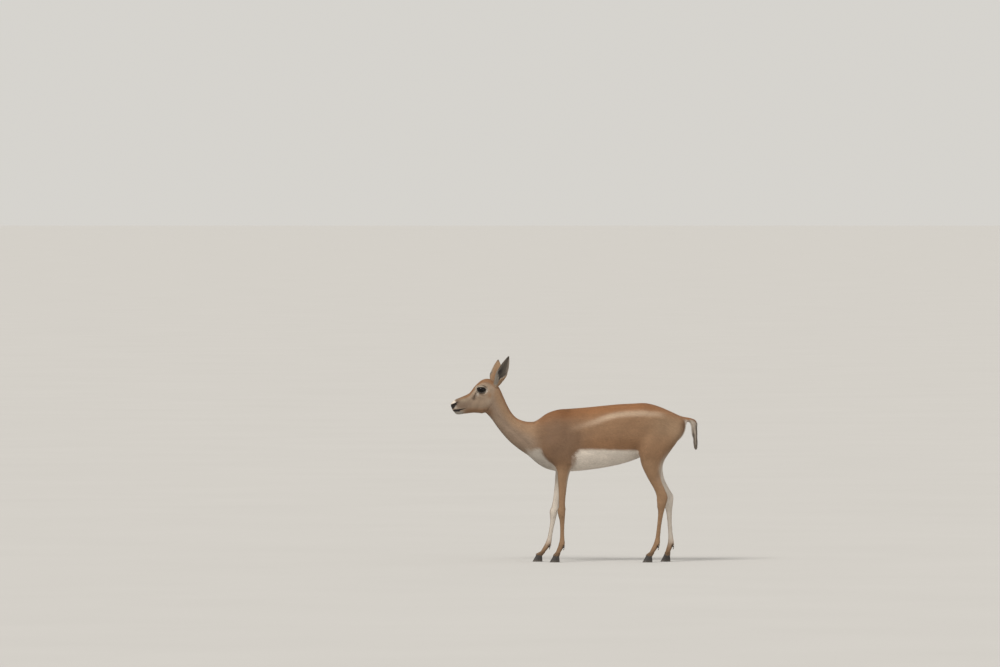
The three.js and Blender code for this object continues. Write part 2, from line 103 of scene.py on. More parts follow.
# height, front, back, half width, x, distance from the middle plane, squareness
FORELEG = [
    (655, 52, 40, 22, -62, 46, 2),
    (625, 74, 56, 30, -62, 50, 2.1),
    (585, 92, 70, 36, -64, 55, 2.2),
    (540, 98, 68, 38, -66, 58, 2.2),
    (500, 80, 62, 35, -60, 60, 2.1),
    (468, 50, 48, 28, -52, 60, 2),
    (440, 36, 35, 22.5, -54, 59, 2),
    (400, 27, 26, 18, -58, 57, 2),
    (350, 21, 20.5, 15, -61, 55, 2),
    (296, 16.5, 17, 13, -64, 53, 2),
    (262, 16.5, 18, 14.5, -66, 52, 2),
    (243, 18.5, 19, 16, -67, 52, 2.2),
    (222, 16.5, 18, 14.5, -67, 52, 2.2),
    (200, 11.5, 15.5, 11, -66, 51, 2),
    (150, 9.5, 13, 9.3, -66, 51, 2),
    (108, 10.5, 14.5, 10.3, -67, 51, 2),
    (86, 13.5, 17.5, 13.2, -69, 51, 2),
    (68, 13.5, 15, 13, -75, 51, 2.2),
    (50, 14, 13, 14, -83, 51, 2.3),
]
HINDLEG = [
    (700, 48, 44, 22, 436, 38, 2),
    (665, 76, 76, 32, 432, 52, 2.1),
    (625, 94, 92, 40, 426, 57, 2.2),
    (580, 98, 84, 45, 410, 60, 2.2),
    (535, 86, 68, 44, 392, 63, 2.2),
    (490, 64, 56, 37, 376, 66, 2.1),
    (450, 46, 45, 29, 374, 68, 2),
    (400, 32, 35, 21, 388, 67, 2),
    (352, 21, 35, 15.5, 408, 65, 2),
    (318, 18, 39, 14, 420, 63, 2),
    (300, 20, 34, 15, 425, 62, 2.2),
    (276, 19, 26, 15, 428, 61, 2.2),
    (240, 13, 18, 11.8, 429, 60, 2),
    (180, 10.3, 13.8, 9.8, 427, 59, 2),
    (118, 10.8, 15, 10.5, 425, 58, 2),
    (90, 13.5, 18, 13.2, 423, 58, 2),
    (70, 13.5, 15, 13, 416, 58, 2.2),
    (51, 14, 13, 14, 408, 58, 2.3),
]
TAIL = [
    (512, 700, 516, 672, 15, 0.5, 2, 2),
    (532, 700, 534, 672, 16, 0.5, 2, 2),
    (557, 698, 549, 672, 16, 0.5, 2, 2),
    (579, 684, 552, 650, 15.5, 0.5, 2, 2),
    (586, 660, 556, 632, 14, 0.5, 2, 2),
    (588, 629, 562, 606, 12, 0.5, 2, 2),
    (587, 601, 568, 586, 9, 0.5, 2, 2),
    (583, 577, 576, 571, 4.5, 0.5, 2, 2),
]

# The solids' eyeballs give the place of the animal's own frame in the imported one.
low_l, high_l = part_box("eye_left")
low_r, high_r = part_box("eye_right")
SHIFT = np.array(
    [
        (low_l[0] + high_l[0]) / 2 * 1000 - EYE["x"],
        (low_l[1] + high_l[1] + low_r[1] + high_r[1]) / 4 * 1000,
        0,
    ]
)


# Small helpers


def step(low, high, value):
    t = np.clip((value - low) / (high - low), 0, 1)
    return t * t * (3 - 2 * t)


def bell(value, width):
    return np.exp(-((value / width) ** 2))


def unit(v):
    return v / np.maximum(np.linalg.norm(v, axis=-1, keepdims=True), 1e-9)


def mix(a, b, share):
    return a + (b - a) * share


def paint_over(colour, layers):
    """Lays each colour over the last, by the share given for each point."""
    for value, share in layers:
        colour = mix(colour, value, np.clip(share, 0, 1)[:, None])
    return colour


def square_to(v, axis):
    return unit(v - axis * (v * axis).sum(axis=1, keepdims=True))


def full_turn(count):
    return np.linspace(0, 2 * np.pi, count, endpoint=False)


def point_tree(points):
    tree = KDTree(len(points))
    for i, p in enumerate(points.tolist()):
        tree.insert(p, i)
    tree.balance()
    return tree


def shades(draw, count, spread, low=0.75, high=1.3, middle=1):
    """A factor for the colour of each hair."""
    return draw.normal(middle, spread, (count, 1)).clip(low, high)


def line_distance(points, line):
    """Distance from each point to a broken line, and how far along it the nearest place is, from 0 to 1."""
    line = np.asarray(line, float)
    best = np.full(len(points), 1e9)
    place = np.zeros(len(points))
    for k, (a, b) in enumerate(zip(line[:-1], line[1:])):
        t = np.clip(((points - a) @ (b - a)) / max((b - a) @ (b - a), 1e-9), 0, 1)
        d = np.linalg.norm(points - (a + t[:, None] * (b - a)), axis=1)
        near = d < best
        best = np.where(near, d, best)
        place = np.where(near, (k + t) / (len(line) - 1), place)
    return best, place


# Lofts


def section(stations, t):
    s = np.asarray(stations, float)
    last = len(s) - 1
    t = np.atleast_1d(np.asarray(t, float))
    i = np.clip(np.floor(t).astype(int), 0, last - 1)
    f = (t - i)[:, None]
    a, b, c, d = s[np.maximum(i - 1, 0)], s[i], s[i + 1], s[np.minimum(i + 2, last)]
    return 0.5 * (2 * b + (c - a) * f + (2 * a - 5 * b + 4 * c - d) * f**2 + (3 * b - a - 3 * c + d) * f**3)


def surface(stations, t, angle, grow=0.0):
    """Points of a loft. angle is 0 at the top (or the front of a leg) and a quarter turn at +Y."""
    s = section(stations, t)
    if s.shape[1] == 8:
        s = np.hstack([s, np.zeros((len(s), 1))])
    tx, tz, bx, bz, half, widest, upper, lower, y = (s[:, k, None] for k in range(9))
    angle = np.atleast_2d(angle)
    grow = np.asarray(grow, float).reshape(-1, 1)
    length = np.hypot(tx - bx, tz - bz)
    ux, uz = (tx - bx) / length, (tz - bz) / length
    c, sn = np.cos(angle), np.sin(angle)
    power = np.where(c > 0, 2 / upper, 2 / lower)
    reach = np.where(c > 0, 1 - widest, widest) * length + grow
    up = widest * length + np.sign(c) * np.abs(c) ** power * reach
    side = np.sign(sn) * np.abs(sn) ** power * (half + grow)
    return np.stack([bx + ux * up, y + side, bz + uz * up], -1)


def core_line(stations, t):
    """The middle of each section of a loft."""
    s = section(stations, t)
    y = s[:, 8] if s.shape[1] > 8 else np.zeros(len(s))
    return np.stack([(s[:, 0] + s[:, 2]) / 2, y, (s[:, 1] + s[:, 3]) / 2], -1)


def stride(kind, side, z):
    share = np.clip((STANCE[kind]["from"] - z) / STANCE[kind]["from"], 0, 1)
    return STANCE[kind][side] * share**1.3


def leg_levels(kind):
    return FORELEG if kind == "fore" else HINDLEG


def fetlock_level(kind):
    return next(i for i, row in enumerate(leg_levels(kind)) if row[0] < FETLOCK_TOP)


def foot_place(kind, side):
    low = leg_levels(kind)[-1]
    return low[4] + stride(kind, side, 0) - (HOOF["ahead"] - 14), side * low[5]


def crown(x):
    return HOOF["height"] - 0.44 * x - 1.6


def leg_stations(kind, side):
    rows = []
    for z, front, back, half, x, y, square in leg_levels(kind):
        middle = x + stride(kind, side, z)
        rows.append((middle - front, z, middle + back, z, half, 0.5, square, square, side * y))
    fx, fy = foot_place(kind, side)
    rows.append((fx - 15, crown(-15), fx + 12, crown(12), 16, 0.5, 2.3, 2.3, fy))
    return rows


def grid_faces(rings, segments):
    i, j = np.meshgrid(np.arange(rings), np.arange(segments), indexing="ij")
    a = i * segments + j
    b = i * segments + (j + 1) % segments
    return np.stack([a, b, b + segments, a + segments], -1).reshape(-1, 4)


def sphere(latitudes, longitudes):
    """Directions in rings round the Z axis."""
    high, low = np.sin(latitudes)[:, None], np.cos(latitudes)[:, None]
    level = np.ones(len(longitudes))
    return np.stack([high * np.cos(longitudes), high * np.sin(longitudes), low * level], -1)


def solid(*pieces):
    """Vertices and faces of closed pieces, each made of rings with a point in the middle of each end."""
    verts, faces, count = [], [], 0
    for rings in pieces:
        n, m = rings.shape[:2]
        ends = [[n * m, (j + 1) % m, j] for j in range(m)]
        ends += [[n * m + 1, (n - 1) * m + j, (n - 1) * m + (j + 1) % m] for j in range(m)]
        faces += [[k + count for k in face] for face in grid_faces(n - 1, m).tolist() + ends]
        verts += [rings.reshape(-1, 3), rings[[0, -1]].mean(axis=1)]
        count += n * m + 2
    return np.vstack(verts), faces


def add_object(name, data):
    made = bpy.data.objects.new(name, data)
    bpy.context.scene.collection.objects.link(made)
    return made


def new_object(name, verts, faces, smooth=True):
    mesh = bpy.data.meshes.new(name)
    faces = faces if isinstance(faces, list) else faces.tolist()
    mesh.from_pydata(((verts + SHIFT) / 1000).tolist(), [], faces)
    mesh.update()
    mesh.polygons.foreach_set("use_smooth", np.full(len(mesh.polygons), smooth))
    return add_object(name, mesh)


def read(collection, key, width, kind):
    """One value or vector of each item of a mesh's collection, as a flat array."""
    values = np.empty(len(collection) * width, kind)
    collection.foreach_get(key, values)
    return values


def dress(piece, material, replaced=()):
    piece.data.materials.append(material)
    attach(piece, "root")
    if replaced:
        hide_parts(*replaced)
    return piece


def store_colour(mesh, name, values):
    layer = mesh.color_attributes.new(name, "FLOAT_COLOR", "POINT")
    rgba = np.ones((len(values), 4), np.float32)
    rgba[:, : values.shape[1]] = values
    layer.data.foreach_set("color", rgba.ravel())


# Ears


def rotation(axis, degrees):
    a = np.radians(degrees)
    c, s = np.cos(a), np.sin(a)
    return {
        "x": np.array([[1, 0, 0], [0, c, -s], [0, s, c]]),
        "y": np.array([[c, 0, s], [0, 1, 0], [-s, 0, c]]),
        "z": np.array([[c, -s, 0], [s, c, 0], [0, 0, 1]]),
    }[axis]


def ear_matrix(side):
    pose = EAR_SET[side]
    return (
        rotation("y", pose["back"])
        @ rotation("x", -side * pose["out"])
        @ rotation("z", 180 - side * pose["turn"])
    )


def ear_root(side):
    return np.array([EAR_ROOT[0] - EAR_SET[side]["forward"], side * EAR_ROOT[1], EAR_ROOT[2]])


def ear_place(points, side):
    return points @ ear_matrix(side).T + ear_root(side)


def ear_stations(side):
    rows = []
    for i in range(10):
        u = i / 9
        z = u * EAR["length"] - EAR["sink"]
        leaf = np.sin(np.pi * min(1, 0.16 + 0.84 * u**0.9)) ** 0.8 if u < 1 else 0
        half = max(1.6, mix(EAR["root"], EAR["half"], min(1, u * 2.6)) * leaf)
        depth = mix(EAR["root"], 4, min(1, u * 1.15))
        bend = EAR["bend"] * u * u
        opening = 0.55 * depth * (1 - u) + 0.6
        sway = -side * EAR["sway"] * np.sin(np.pi * u)
        rows.append((bend + opening, z, bend - depth, z, half, 0.62, 2.2, 2, sway))
    return rows


# The skin: one closed surface

# How far it lies inside the solids: on the trunk, on the upper legs and on the tail
TRUNK_DEPTH, LEG_DEPTH, TAIL_DEPTH = 2.6, 1.9, 2.5
VOXEL = 0.0056  # in metres, in the swollen space
HEAD_CENTRE = np.array([-485.0, 0.0, 790.0])
radius_grid = np.linspace(0, 1600, 3201)
magnify = 1 + 2.9 * (1 - step(125, 330, radius_grid))
warped_grid = np.concatenate([[0], np.cumsum((magnify[1:] + magnify[:-1]) / 2 * np.diff(radius_grid))])


def warp(points, source, target):
    """Swells space round the head, for a finer remesh there. With the grids swapped it undoes that."""
    v = points - HEAD_CENTRE
    r = np.linalg.norm(v, axis=1, keepdims=True)
    return HEAD_CENTRE + v * (np.interp(r, source, target) / np.maximum(r, 1e-6))


def build_skin():
    """The body, legs, tail, eyelids and ear roots in one surface of quads, below the coat's depth."""
    t = np.linspace(0, len(BODY) - 1, 330)
    pieces = [surface(BODY, t, full_turn(120), -TRUNK_DEPTH + 1.9 * step(17, 22, t))]
    for kind, side in LEGS:
        rows = leg_stations(kind, side)
        t = np.linspace(0, len(rows) - 1, 150)
        pieces.append(surface(rows, t, full_turn(56), -LEG_DEPTH + 1.4 * step(4, 11, t)))
    pieces.append(surface(TAIL, np.linspace(0.1, len(TAIL) - 1.2, 60), full_turn(40), -TAIL_DEPTH))
    for side in SIDES:
        lids = sphere(np.linspace(0.04, np.pi - 0.04, 18), full_turn(28)) * (29, 20, 25)
        pieces.append(lids + np.array([EYE["x"] - 1, side * EYE["y"] * 0.98, EYE["z"] + 1]))
        stub = surface(ear_stations(side), np.linspace(0.2, 1.75, 20), full_turn(36), 0.6)
        pieces.append(ear_place(stub.reshape(-1, 3), side).reshape(stub.shape))
    verts, faces = solid(*pieces)
    raw = new_object("raw_skin", warp(verts, radius_grid, warped_grid), faces)
    remesh = raw.modifiers.new("remesh", "REMESH")
    remesh.mode = "VOXEL"
    remesh.voxel_size = VOXEL
    made = raw.evaluated_get(bpy.context.evaluated_depsgraph_get()).to_mesh()
    points = read(made.vertices, "co", 3, float).reshape(-1, 3)
    quads = read(made.loops, "vertex_index", 1, np.int32)
    if (read(made.polygons, "loop_total", 1, np.int32) != 4).any():
        raise RuntimeError("the remesh gave faces that aren't quads")
    bpy.data.objects.remove(raw)
    return warp(points * 1000 - SHIFT, warped_grid, radius_grid), quads.reshape(-1, 4)


def edges_of(quads):
    pairs = np.vstack([quads[:, [k, (k + 1) % 4]] for k in range(4)])
    return np.unique(np.sort(pairs, axis=1), axis=0)


def relax(points, edges, rounds, weight):
    """Moves each point towards the middle of its neighbours, by the share given for each point."""
    n = len(points)
    a, b = edges.T
    count = np.bincount(edges.ravel(), minlength=n)[:, None]
    for _ in range(rounds):
        total = np.stack([np.bincount(a, v[b], n) + np.bincount(b, v[a], n) for v in points.T], -1)
        points = points + (total / count - points) * weight[:, None]
    return points


def normals_of(points, quads):
    a, b, c, d = (points[quads[:, k]] for k in range(4))
    flat = np.cross(c - a, d - b)
    total = np.zeros_like(points)
    for k in range(4):
        for axis in range(3):
            total[:, axis] += np.bincount(quads[:, k], flat[:, axis], len(points))
    return unit(total)


def near_seams(points, edges, region):
    """1 where the legs and the tail leave the trunk, falling to 0 some way from there."""
    crossing = (region[edges[:, 0]] == TRUNK) != (region[edges[:, 1]] == TRUNK)
    tree = point_tree(points[np.unique(edges[crossing])])
    distance = np.array([tree.find(p)[2] for p in points.tolist()])
    return 1 - step(10, 55, distance)


# Where each point of the skin is on the animal: its region, and its place along and round it
TRUNK, TAIL_REGION = 0, 5  # the legs stand between them, numbered as in LEGS
NECK_FROM, HEAD_FROM = 14, 20.5  # places along BODY


def is_fore(region):
    return (region == 1) | (region == 2)


def is_hind(region):
    return (region == 3) | (region == 4)


def locate(points):
    samples, region, along, angle, flow = [], [], [], [], []

    def take(index, rows, t, turns, towards):
        ring = surface(rows, t, turns)
        centre = ring.mean(axis=1)
        lie = unit(np.gradient(centre, axis=0)) * towards
        n, m = ring.shape[:2]
        samples.append(ring.reshape(-1, 3))
        region.append(np.full(n * m, index))
        along.append(np.repeat(t, m))
        angle.append(np.tile(turns, n))
        flow.append(np.repeat(lie, m, axis=0))

    take(TRUNK, BODY, np.linspace(0, len(BODY) - 1, 400), full_turn(90), -1)
    for k, (kind, side) in enumerate(LEGS, 1):
        rows = leg_stations(kind, side)
        take(k, rows, np.linspace(1.5, len(rows) - 1, 200), full_turn(40), 1)
    # the roots of the ears count as the top of the head
    for side in SIDES:
        rings = surface(ear_stations(side), np.linspace(0.7, 1.9, 14), full_turn(30), 0.6)
        spots = ear_place(rings.reshape(-1, 3), side)
        samples.append(spots)
        region.append(np.full(len(spots), TRUNK))
        along.append(np.full(len(spots), 22.5))
        angle.append(np.full(len(spots), 1.15 * side))
        flow.append(np.tile(ear_matrix(side)[:, 2], (len(spots), 1)))
    take(TAIL_REGION, TAIL, np.linspace(2, len(TAIL) - 1, 50), full_turn(30), 1)
    tree = point_tree(np.vstack(samples))
    found = np.array([tree.find(p)[1] for p in points.tolist()])
    return (np.concatenate(part)[found] for part in (region, along, angle, flow))


# The eye's opening and the lines of the face


def almond(count=60):
    """The edge of the lids in the side view, round the middle of the eye: flat above, rounder below."""
    lift = 1.5  # the opening lies a little above the middle of the eye
    u = np.linspace(-1, 1, count)
    up = EYE["above"] * (1 - (np.abs(u + 0.12) / 1.12) ** 3.2).clip(0) ** 0.75
    down = EYE["below"] * (1 - np.abs(u) ** 2.1) ** 0.8
    top = np.stack([u * EYE["open"], lift + up], -1)
    bottom = np.stack([u * EYE["open"], lift - down], -1)
    return np.vstack([top, bottom[::-1]])


ALMOND = almond()


def lid_distance(points):
    """How far each point lies outside the lids' edge in the side view; negative inside."""
    p = points[:, [0, 2]] - [EYE["x"], EYE["z"]]
    d, _ = line_distance(p, ALMOND)
    half = len(ALMOND) // 2
    top = np.interp(p[:, 0], ALMOND[:half, 0], ALMOND[:half, 1])
    bottom = np.interp(p[:, 0], ALMOND[half:, 0][::-1], ALMOND[half:, 1][::-1])
    inside = (np.abs(p[:, 0]) < EYE["open"]) & (p[:, 1] < top) & (p[:, 1] > bottom)
    return np.where(inside, -d, d)


def on_head(x, z, side):
    """The place of the head's surface at a point of the side view."""
    t = np.linspace(22, len(BODY) - 1, 260)
    turns = np.linspace(0.05, np.pi - 0.05, 120) * side
    grid = surface(BODY, t, turns).reshape(-1, 3)
    return grid[np.argmin(np.hypot(grid[:, 0] - x, grid[:, 2] - z))]


MOUTH = [(-521, 738), (-534, 734.5), (-549, 732), (-564, 730), (-578, 729.5)]
NOSTRIL = [(-593, 747.5), (-588.5, 752.5), (-582, 756.5), (-574, 757.5), (-568, 755)]
GLAND = [(-473, 817), (-477, 809), (-480.5, 799), (-482.5, 788)]


def face_lines():
    mouth = [on_head(x, z, -1) for x, z in MOUTH] + [np.array([-588.5, 0, 730.0])]
    mouth += [on_head(x, z, 1) for x, z in MOUTH[::-1]]
    nostril = {s: [on_head(x, z, s) for x, z in NOSTRIL] for s in SIDES}
    gland = {s: [on_head(x, z, s) for x, z in GLAND] for s in SIDES}
    return np.array(mouth), nostril, gland


MOUTH_LINE, NOSTRIL_LINE, GLAND_LINE = face_lines()
NOSE_FRONT = -583  # the bare front of the nose and the lips lies ahead of this


def nose_pad(points):
    """The bare skin between the nostrils, which runs down to the lip in a narrow strip."""
    half = np.interp(points[:, 2], [730, 736, 742, 748, 753, 757, 760], [1.6, 2.6, 6.5, 11.5, 12.5, 9.5, 3])
    inside = step(half + 1.3, half - 0.7, np.abs(points[:, 1]))
    return inside * (points[:, 0] < NOSE_FRONT) * step(729, 731, points[:, 2]) * step(760.5, 758.5, points[:, 2])


def nose_roof(x):
    """The level that parts the dark nose from the white above it."""
    return 756.5 + (x + 596) * 0.42


def nose_wedge(points):
    """The dark short hair round each nostril, a wedge in the side view."""
    x, _, z = points.T
    rear = -584 + (z - 732) * 0.58
    return step(-0.5, 1.8, nose_roof(x) - z) * step(-1.0, 2.2, rear - x) * step(733.5, 737.5, z)


# Modelling of the surface

# Swellings and hollows seen from the side: x, z, radius along, radius up, tilt in degrees, height in mm
BODY_FORMS = [
    (-72, 655, 16, 62, 4, 2.6),  # ridge of the shoulder blade
    (-118, 566, 30, 26, 0, 4.0),  # point of the shoulder
    (-40, 640, 20, 46, -10, -2.2),  # behind the ridge
    (22, 600, 16, 90, -12, -4.2),  # groove behind the shoulder
    (-30, 540, 34, 36, 0, 3.0),  # upper arm
    (-22, 478, 16, 18, 0, 3.0),  # elbow
    (286, 652, 40, 46, 12, -7.5),  # hollow of the flank
    (338, 722, 22, 16, 0, 6.0),  # hip bone
    (392, 690, 40, 22, -14, -3.2),  # between hip and croup
    (505, 672, 18, 16, 0, 4.0),  # pin bone
    (446, 600, 9, 80, 16, -2.6),  # groove down the thigh
    (352, 560, 20, 60, 18, 2.4),  # front of the thigh
    (330, 512, 22, 22, 0, 2.6),  # stifle
    (-300, 630, 110, 10, -42, -3.2),  # groove of the throat
    (-150, 640, 46, 30, -40, 2.2),  # front of the shoulder
    (150, 700, 150, 12, 0, -1.8),  # beside the loin
]
HEAD_FORMS = [
    (-424, 762, 26, 30, 0, 2.6),  # cheek muscle
    (-462, 752, 12, 26, -20, -2.2),  # in front of it
    (-468, 798, 30, 6, -20, 1.8),  # ridge of the cheekbone
    (-412, 846, 14, 16, 0, -2.4),  # temple
    (-520, 778, 28, 13, -28, -2.2),  # side of the nose
    (-545, 748, 22, 9, -6, 1.2),  # upper lip
    (-548, 719, 22, 6, -4, 1.0),  # lower lip
    (-430, 734, 26, 6, 8, 1.8),  # angle of the jaw
    (-502, 752, 22, 12, -10, -1.2),  # hollow of the cheek
]


def side_forms(points, normals, table):
    total = np.zeros(len(points))
    for x, z, along, up, tilt, height in table:
        a = np.radians(tilt)
        dx, dz = points[:, 0] - x, points[:, 2] - z
        p = dx * np.cos(a) + dz * np.sin(a)
        q = -dx * np.sin(a) + dz * np.cos(a)
        total += height * np.exp(-((p / along) ** 2) - (q / up) ** 2)
    return total * step(0.15, 0.6, np.abs(normals[:, 1]))


def leg_forms(points, region, angle):
    """Tendons, joints and the cleft of the foot. angle is 0 in front, half a turn behind."""
    total = np.zeros(len(points))
    z = points[:, 2]
    back = np.abs(np.degrees(np.arctan2(np.sin(angle), np.cos(angle))))
    fore, hind = is_fore(region), is_hind(region)
    tendon = -1.7 * bell(back - 112, 22)
    total += fore * tendon * step(98, 125, z) * (1 - step(205, 225, z))
    total += hind * tendon * step(100, 130, z) * (1 - step(245, 270, z))
    total += fore * (1.4 * bell(z - 244, 15) * bell(back, 55) + 2.2 * bell(z - 256, 9) * bell(back - 180, 40))
    total += fore * (-1.0 * bell(z - 226, 5) * bell(back, 70) - 0.8 * bell(z - 262, 5) * bell(back, 70))
    total += hind * (-4.2 * bell(back - 128, 24) * step(322, 345, z) * (1 - step(400, 450, z)))
    total += hind * (1.6 * bell(z - 284, 12) * bell(back - 70, 34) + 1.2 * bell(z - 262, 10) * bell(back, 40))
    total += (fore | hind) * 1.1 * bell(z - 88, 9) * bell(back - 90, 40)
    cleft = -3.2 * (bell(back, 16) + bell(back - 180, 16))
    total += (fore | hind) * cleft * (1 - step(40, 62, z))
    total += fore * -1.6 * bell(back - 100, 18) * step(330, 360, z) * (1 - step(440, 480, z))
    return total


def model_head(points, normals):
    """Lids, folds, nostrils, lips and glands."""
    side = np.sign(points[:, 1])
    near = (points[:, 0] > -505) & (points[:, 0] < -405) & (np.abs(normals[:, 1]) > 0.05)
    d = lid_distance(points)
    out = np.abs(points[:, 1])
    p = points[:, [0, 2]] - [EYE["x"], EYE["z"]]
    r2 = (p**2).sum(axis=1)
    ball = EYE["y"] + np.sqrt(np.clip(EYE["radius"] ** 2 - r2, 30, None))
    edge = 2.5 * (1 - (1 - np.clip(d / 2.2, 0, 1)) ** 2)
    fold = -1.3 * bell(d - 6.5, 1.5) * step(2, 8, p[:, 1]) - 0.9 * bell(d - 5.5, 1.4) * step(1, 7, -p[:, 1])
    lid = ball + edge + fold + 0.8 * bell(d - 3.4, 2.0)
    lid = np.where(d < 0, ball - 2.6 * step(0, 1.6, -d), lid)
    share = np.where(near & (out > 18), 1 - step(5.5, 15, d), 0)
    points[:, 1] = np.where(share > 0, side * mix(out, lid, share), points[:, 1])

    move = np.zeros(len(points))
    mouth, place = line_distance(points, MOUTH_LINE)
    front = 1 - np.abs(2 * place - 1)
    move += -2.5 * bell(mouth, 1.5) + (0.5 + 0.5 * front) * bell(mouth - 4.2, 2.4)
    for s in SIDES:
        own = side == s
        hole, place = line_distance(points, NOSTRIL_LINE[s])
        deep = 0.35 + 0.65 * np.sin(np.pi * np.clip(place * 1.15, 0, 1))
        move += own * (-6.2 * deep * bell(hole, 2.0) + 1.7 * bell(hole - 4.8, 2.2))
        slit, place = line_distance(points, GLAND_LINE[s])
        move += own * (-2.8 * bell(slit, 2.1) + 1.2 * bell(slit - 5, 2.4))
    move += 0.45 * nose_pad(points)
    lip = (points[:, 0] < NOSE_FRONT) & (points[:, 2] < 750)
    move += -1.3 * lip * bell(points[:, 1], 1.1)
    brow = np.linalg.norm((points - [-447, 0, 856]) * [1, 0.0, 1], axis=1)
    move += 2.4 * bell(brow, 14) * step(24, 34, out) * 0.7
    chin = np.linalg.norm((points - [-562, 0, 712]) * [1, 0.8, 1.4], axis=1)
    move += 1.3 * bell(chin, 11)
    return points + normals * move[:, None]


# Markings, and painted shade on the shoulder, chest, jaw, throat, under the eyes and in the nostrils

BACK = np.array([0.252, 0.114, 0.046])
SIDE = np.array([0.238, 0.136, 0.073])
FLANK = np.array([0.228, 0.121, 0.060])
SHOULDER_TONE_AND_SHADE = np.array([0.148, 0.087, 0.052])
STRIPE = np.array([0.440, 0.322, 0.226])
WHITE = np.array([0.640, 0.570, 0.495])
GREY = np.array([0.232, 0.170, 0.124])
NECK = np.array([0.280, 0.176, 0.104])
CHEEK = np.array([0.305, 0.222, 0.157])
RUFOUS = np.array([0.250, 0.128, 0.061])
BRIDGE = np.array([0.112, 0.074, 0.050])
DARK = np.array([0.026, 0.020, 0.018])
PALE = np.array([0.390, 0.318, 0.248])
OLIVE = np.array([0.270, 0.212, 0.146])
HAUNCH = np.array([0.224, 0.146, 0.087])
LEG = np.array([0.275, 0.166, 0.093])
EAR_BACK = np.array([0.250, 0.158, 0.092])
EAR_GREY = np.array([0.205, 0.175, 0.145])

STREAK = [(-472, 817), (-478, 806), (-484, 795), (-487, 786)]
STRIPE_LINE = [(-45, 636), (30, 655), (85, 673), (130, 690), (175, 703), (225, 711), (312, 715), (384, 714)]
STRIPE_LINE += [(435, 708)]
STRIPE_STRENGTH = [(0, 0), (0.12, 0.3), (0.3, 0.7), (0.45, 1), (0.8, 0.9), (0.93, 0.45), (1, 0)]
# where the white below ends on the side, and at the back of the upper foreleg
BELLY_LINE = [(-230, 520), (-200, 545), (-160, 548), (-120, 520), (-60, 440), (-10, 520), (20, 540)]
BELLY_LINE += [(250, 541), (330, 534), (380, 500)]
ARMPIT_LINE = [(440, -17), (468, -2), (500, 4)]
BROW_LINE = [(-438, 865), (-426, 862), (-412, 853)]
LIP_LINE = [(-577, 727.5), (-557, 727.5)]


def waver(points, size, seed):
    """A smooth wandering value about 0, for uneven borders."""
    local = np.random.default_rng(seed)
    total = np.zeros(len(points))
    for k in range(5):
        way = unit(local.normal(size=3))
        total += np.sin(points @ way * (2 * np.pi / (size * (0.6 + 0.35 * k))) + local.uniform(0, 6.3))
    return total / 5


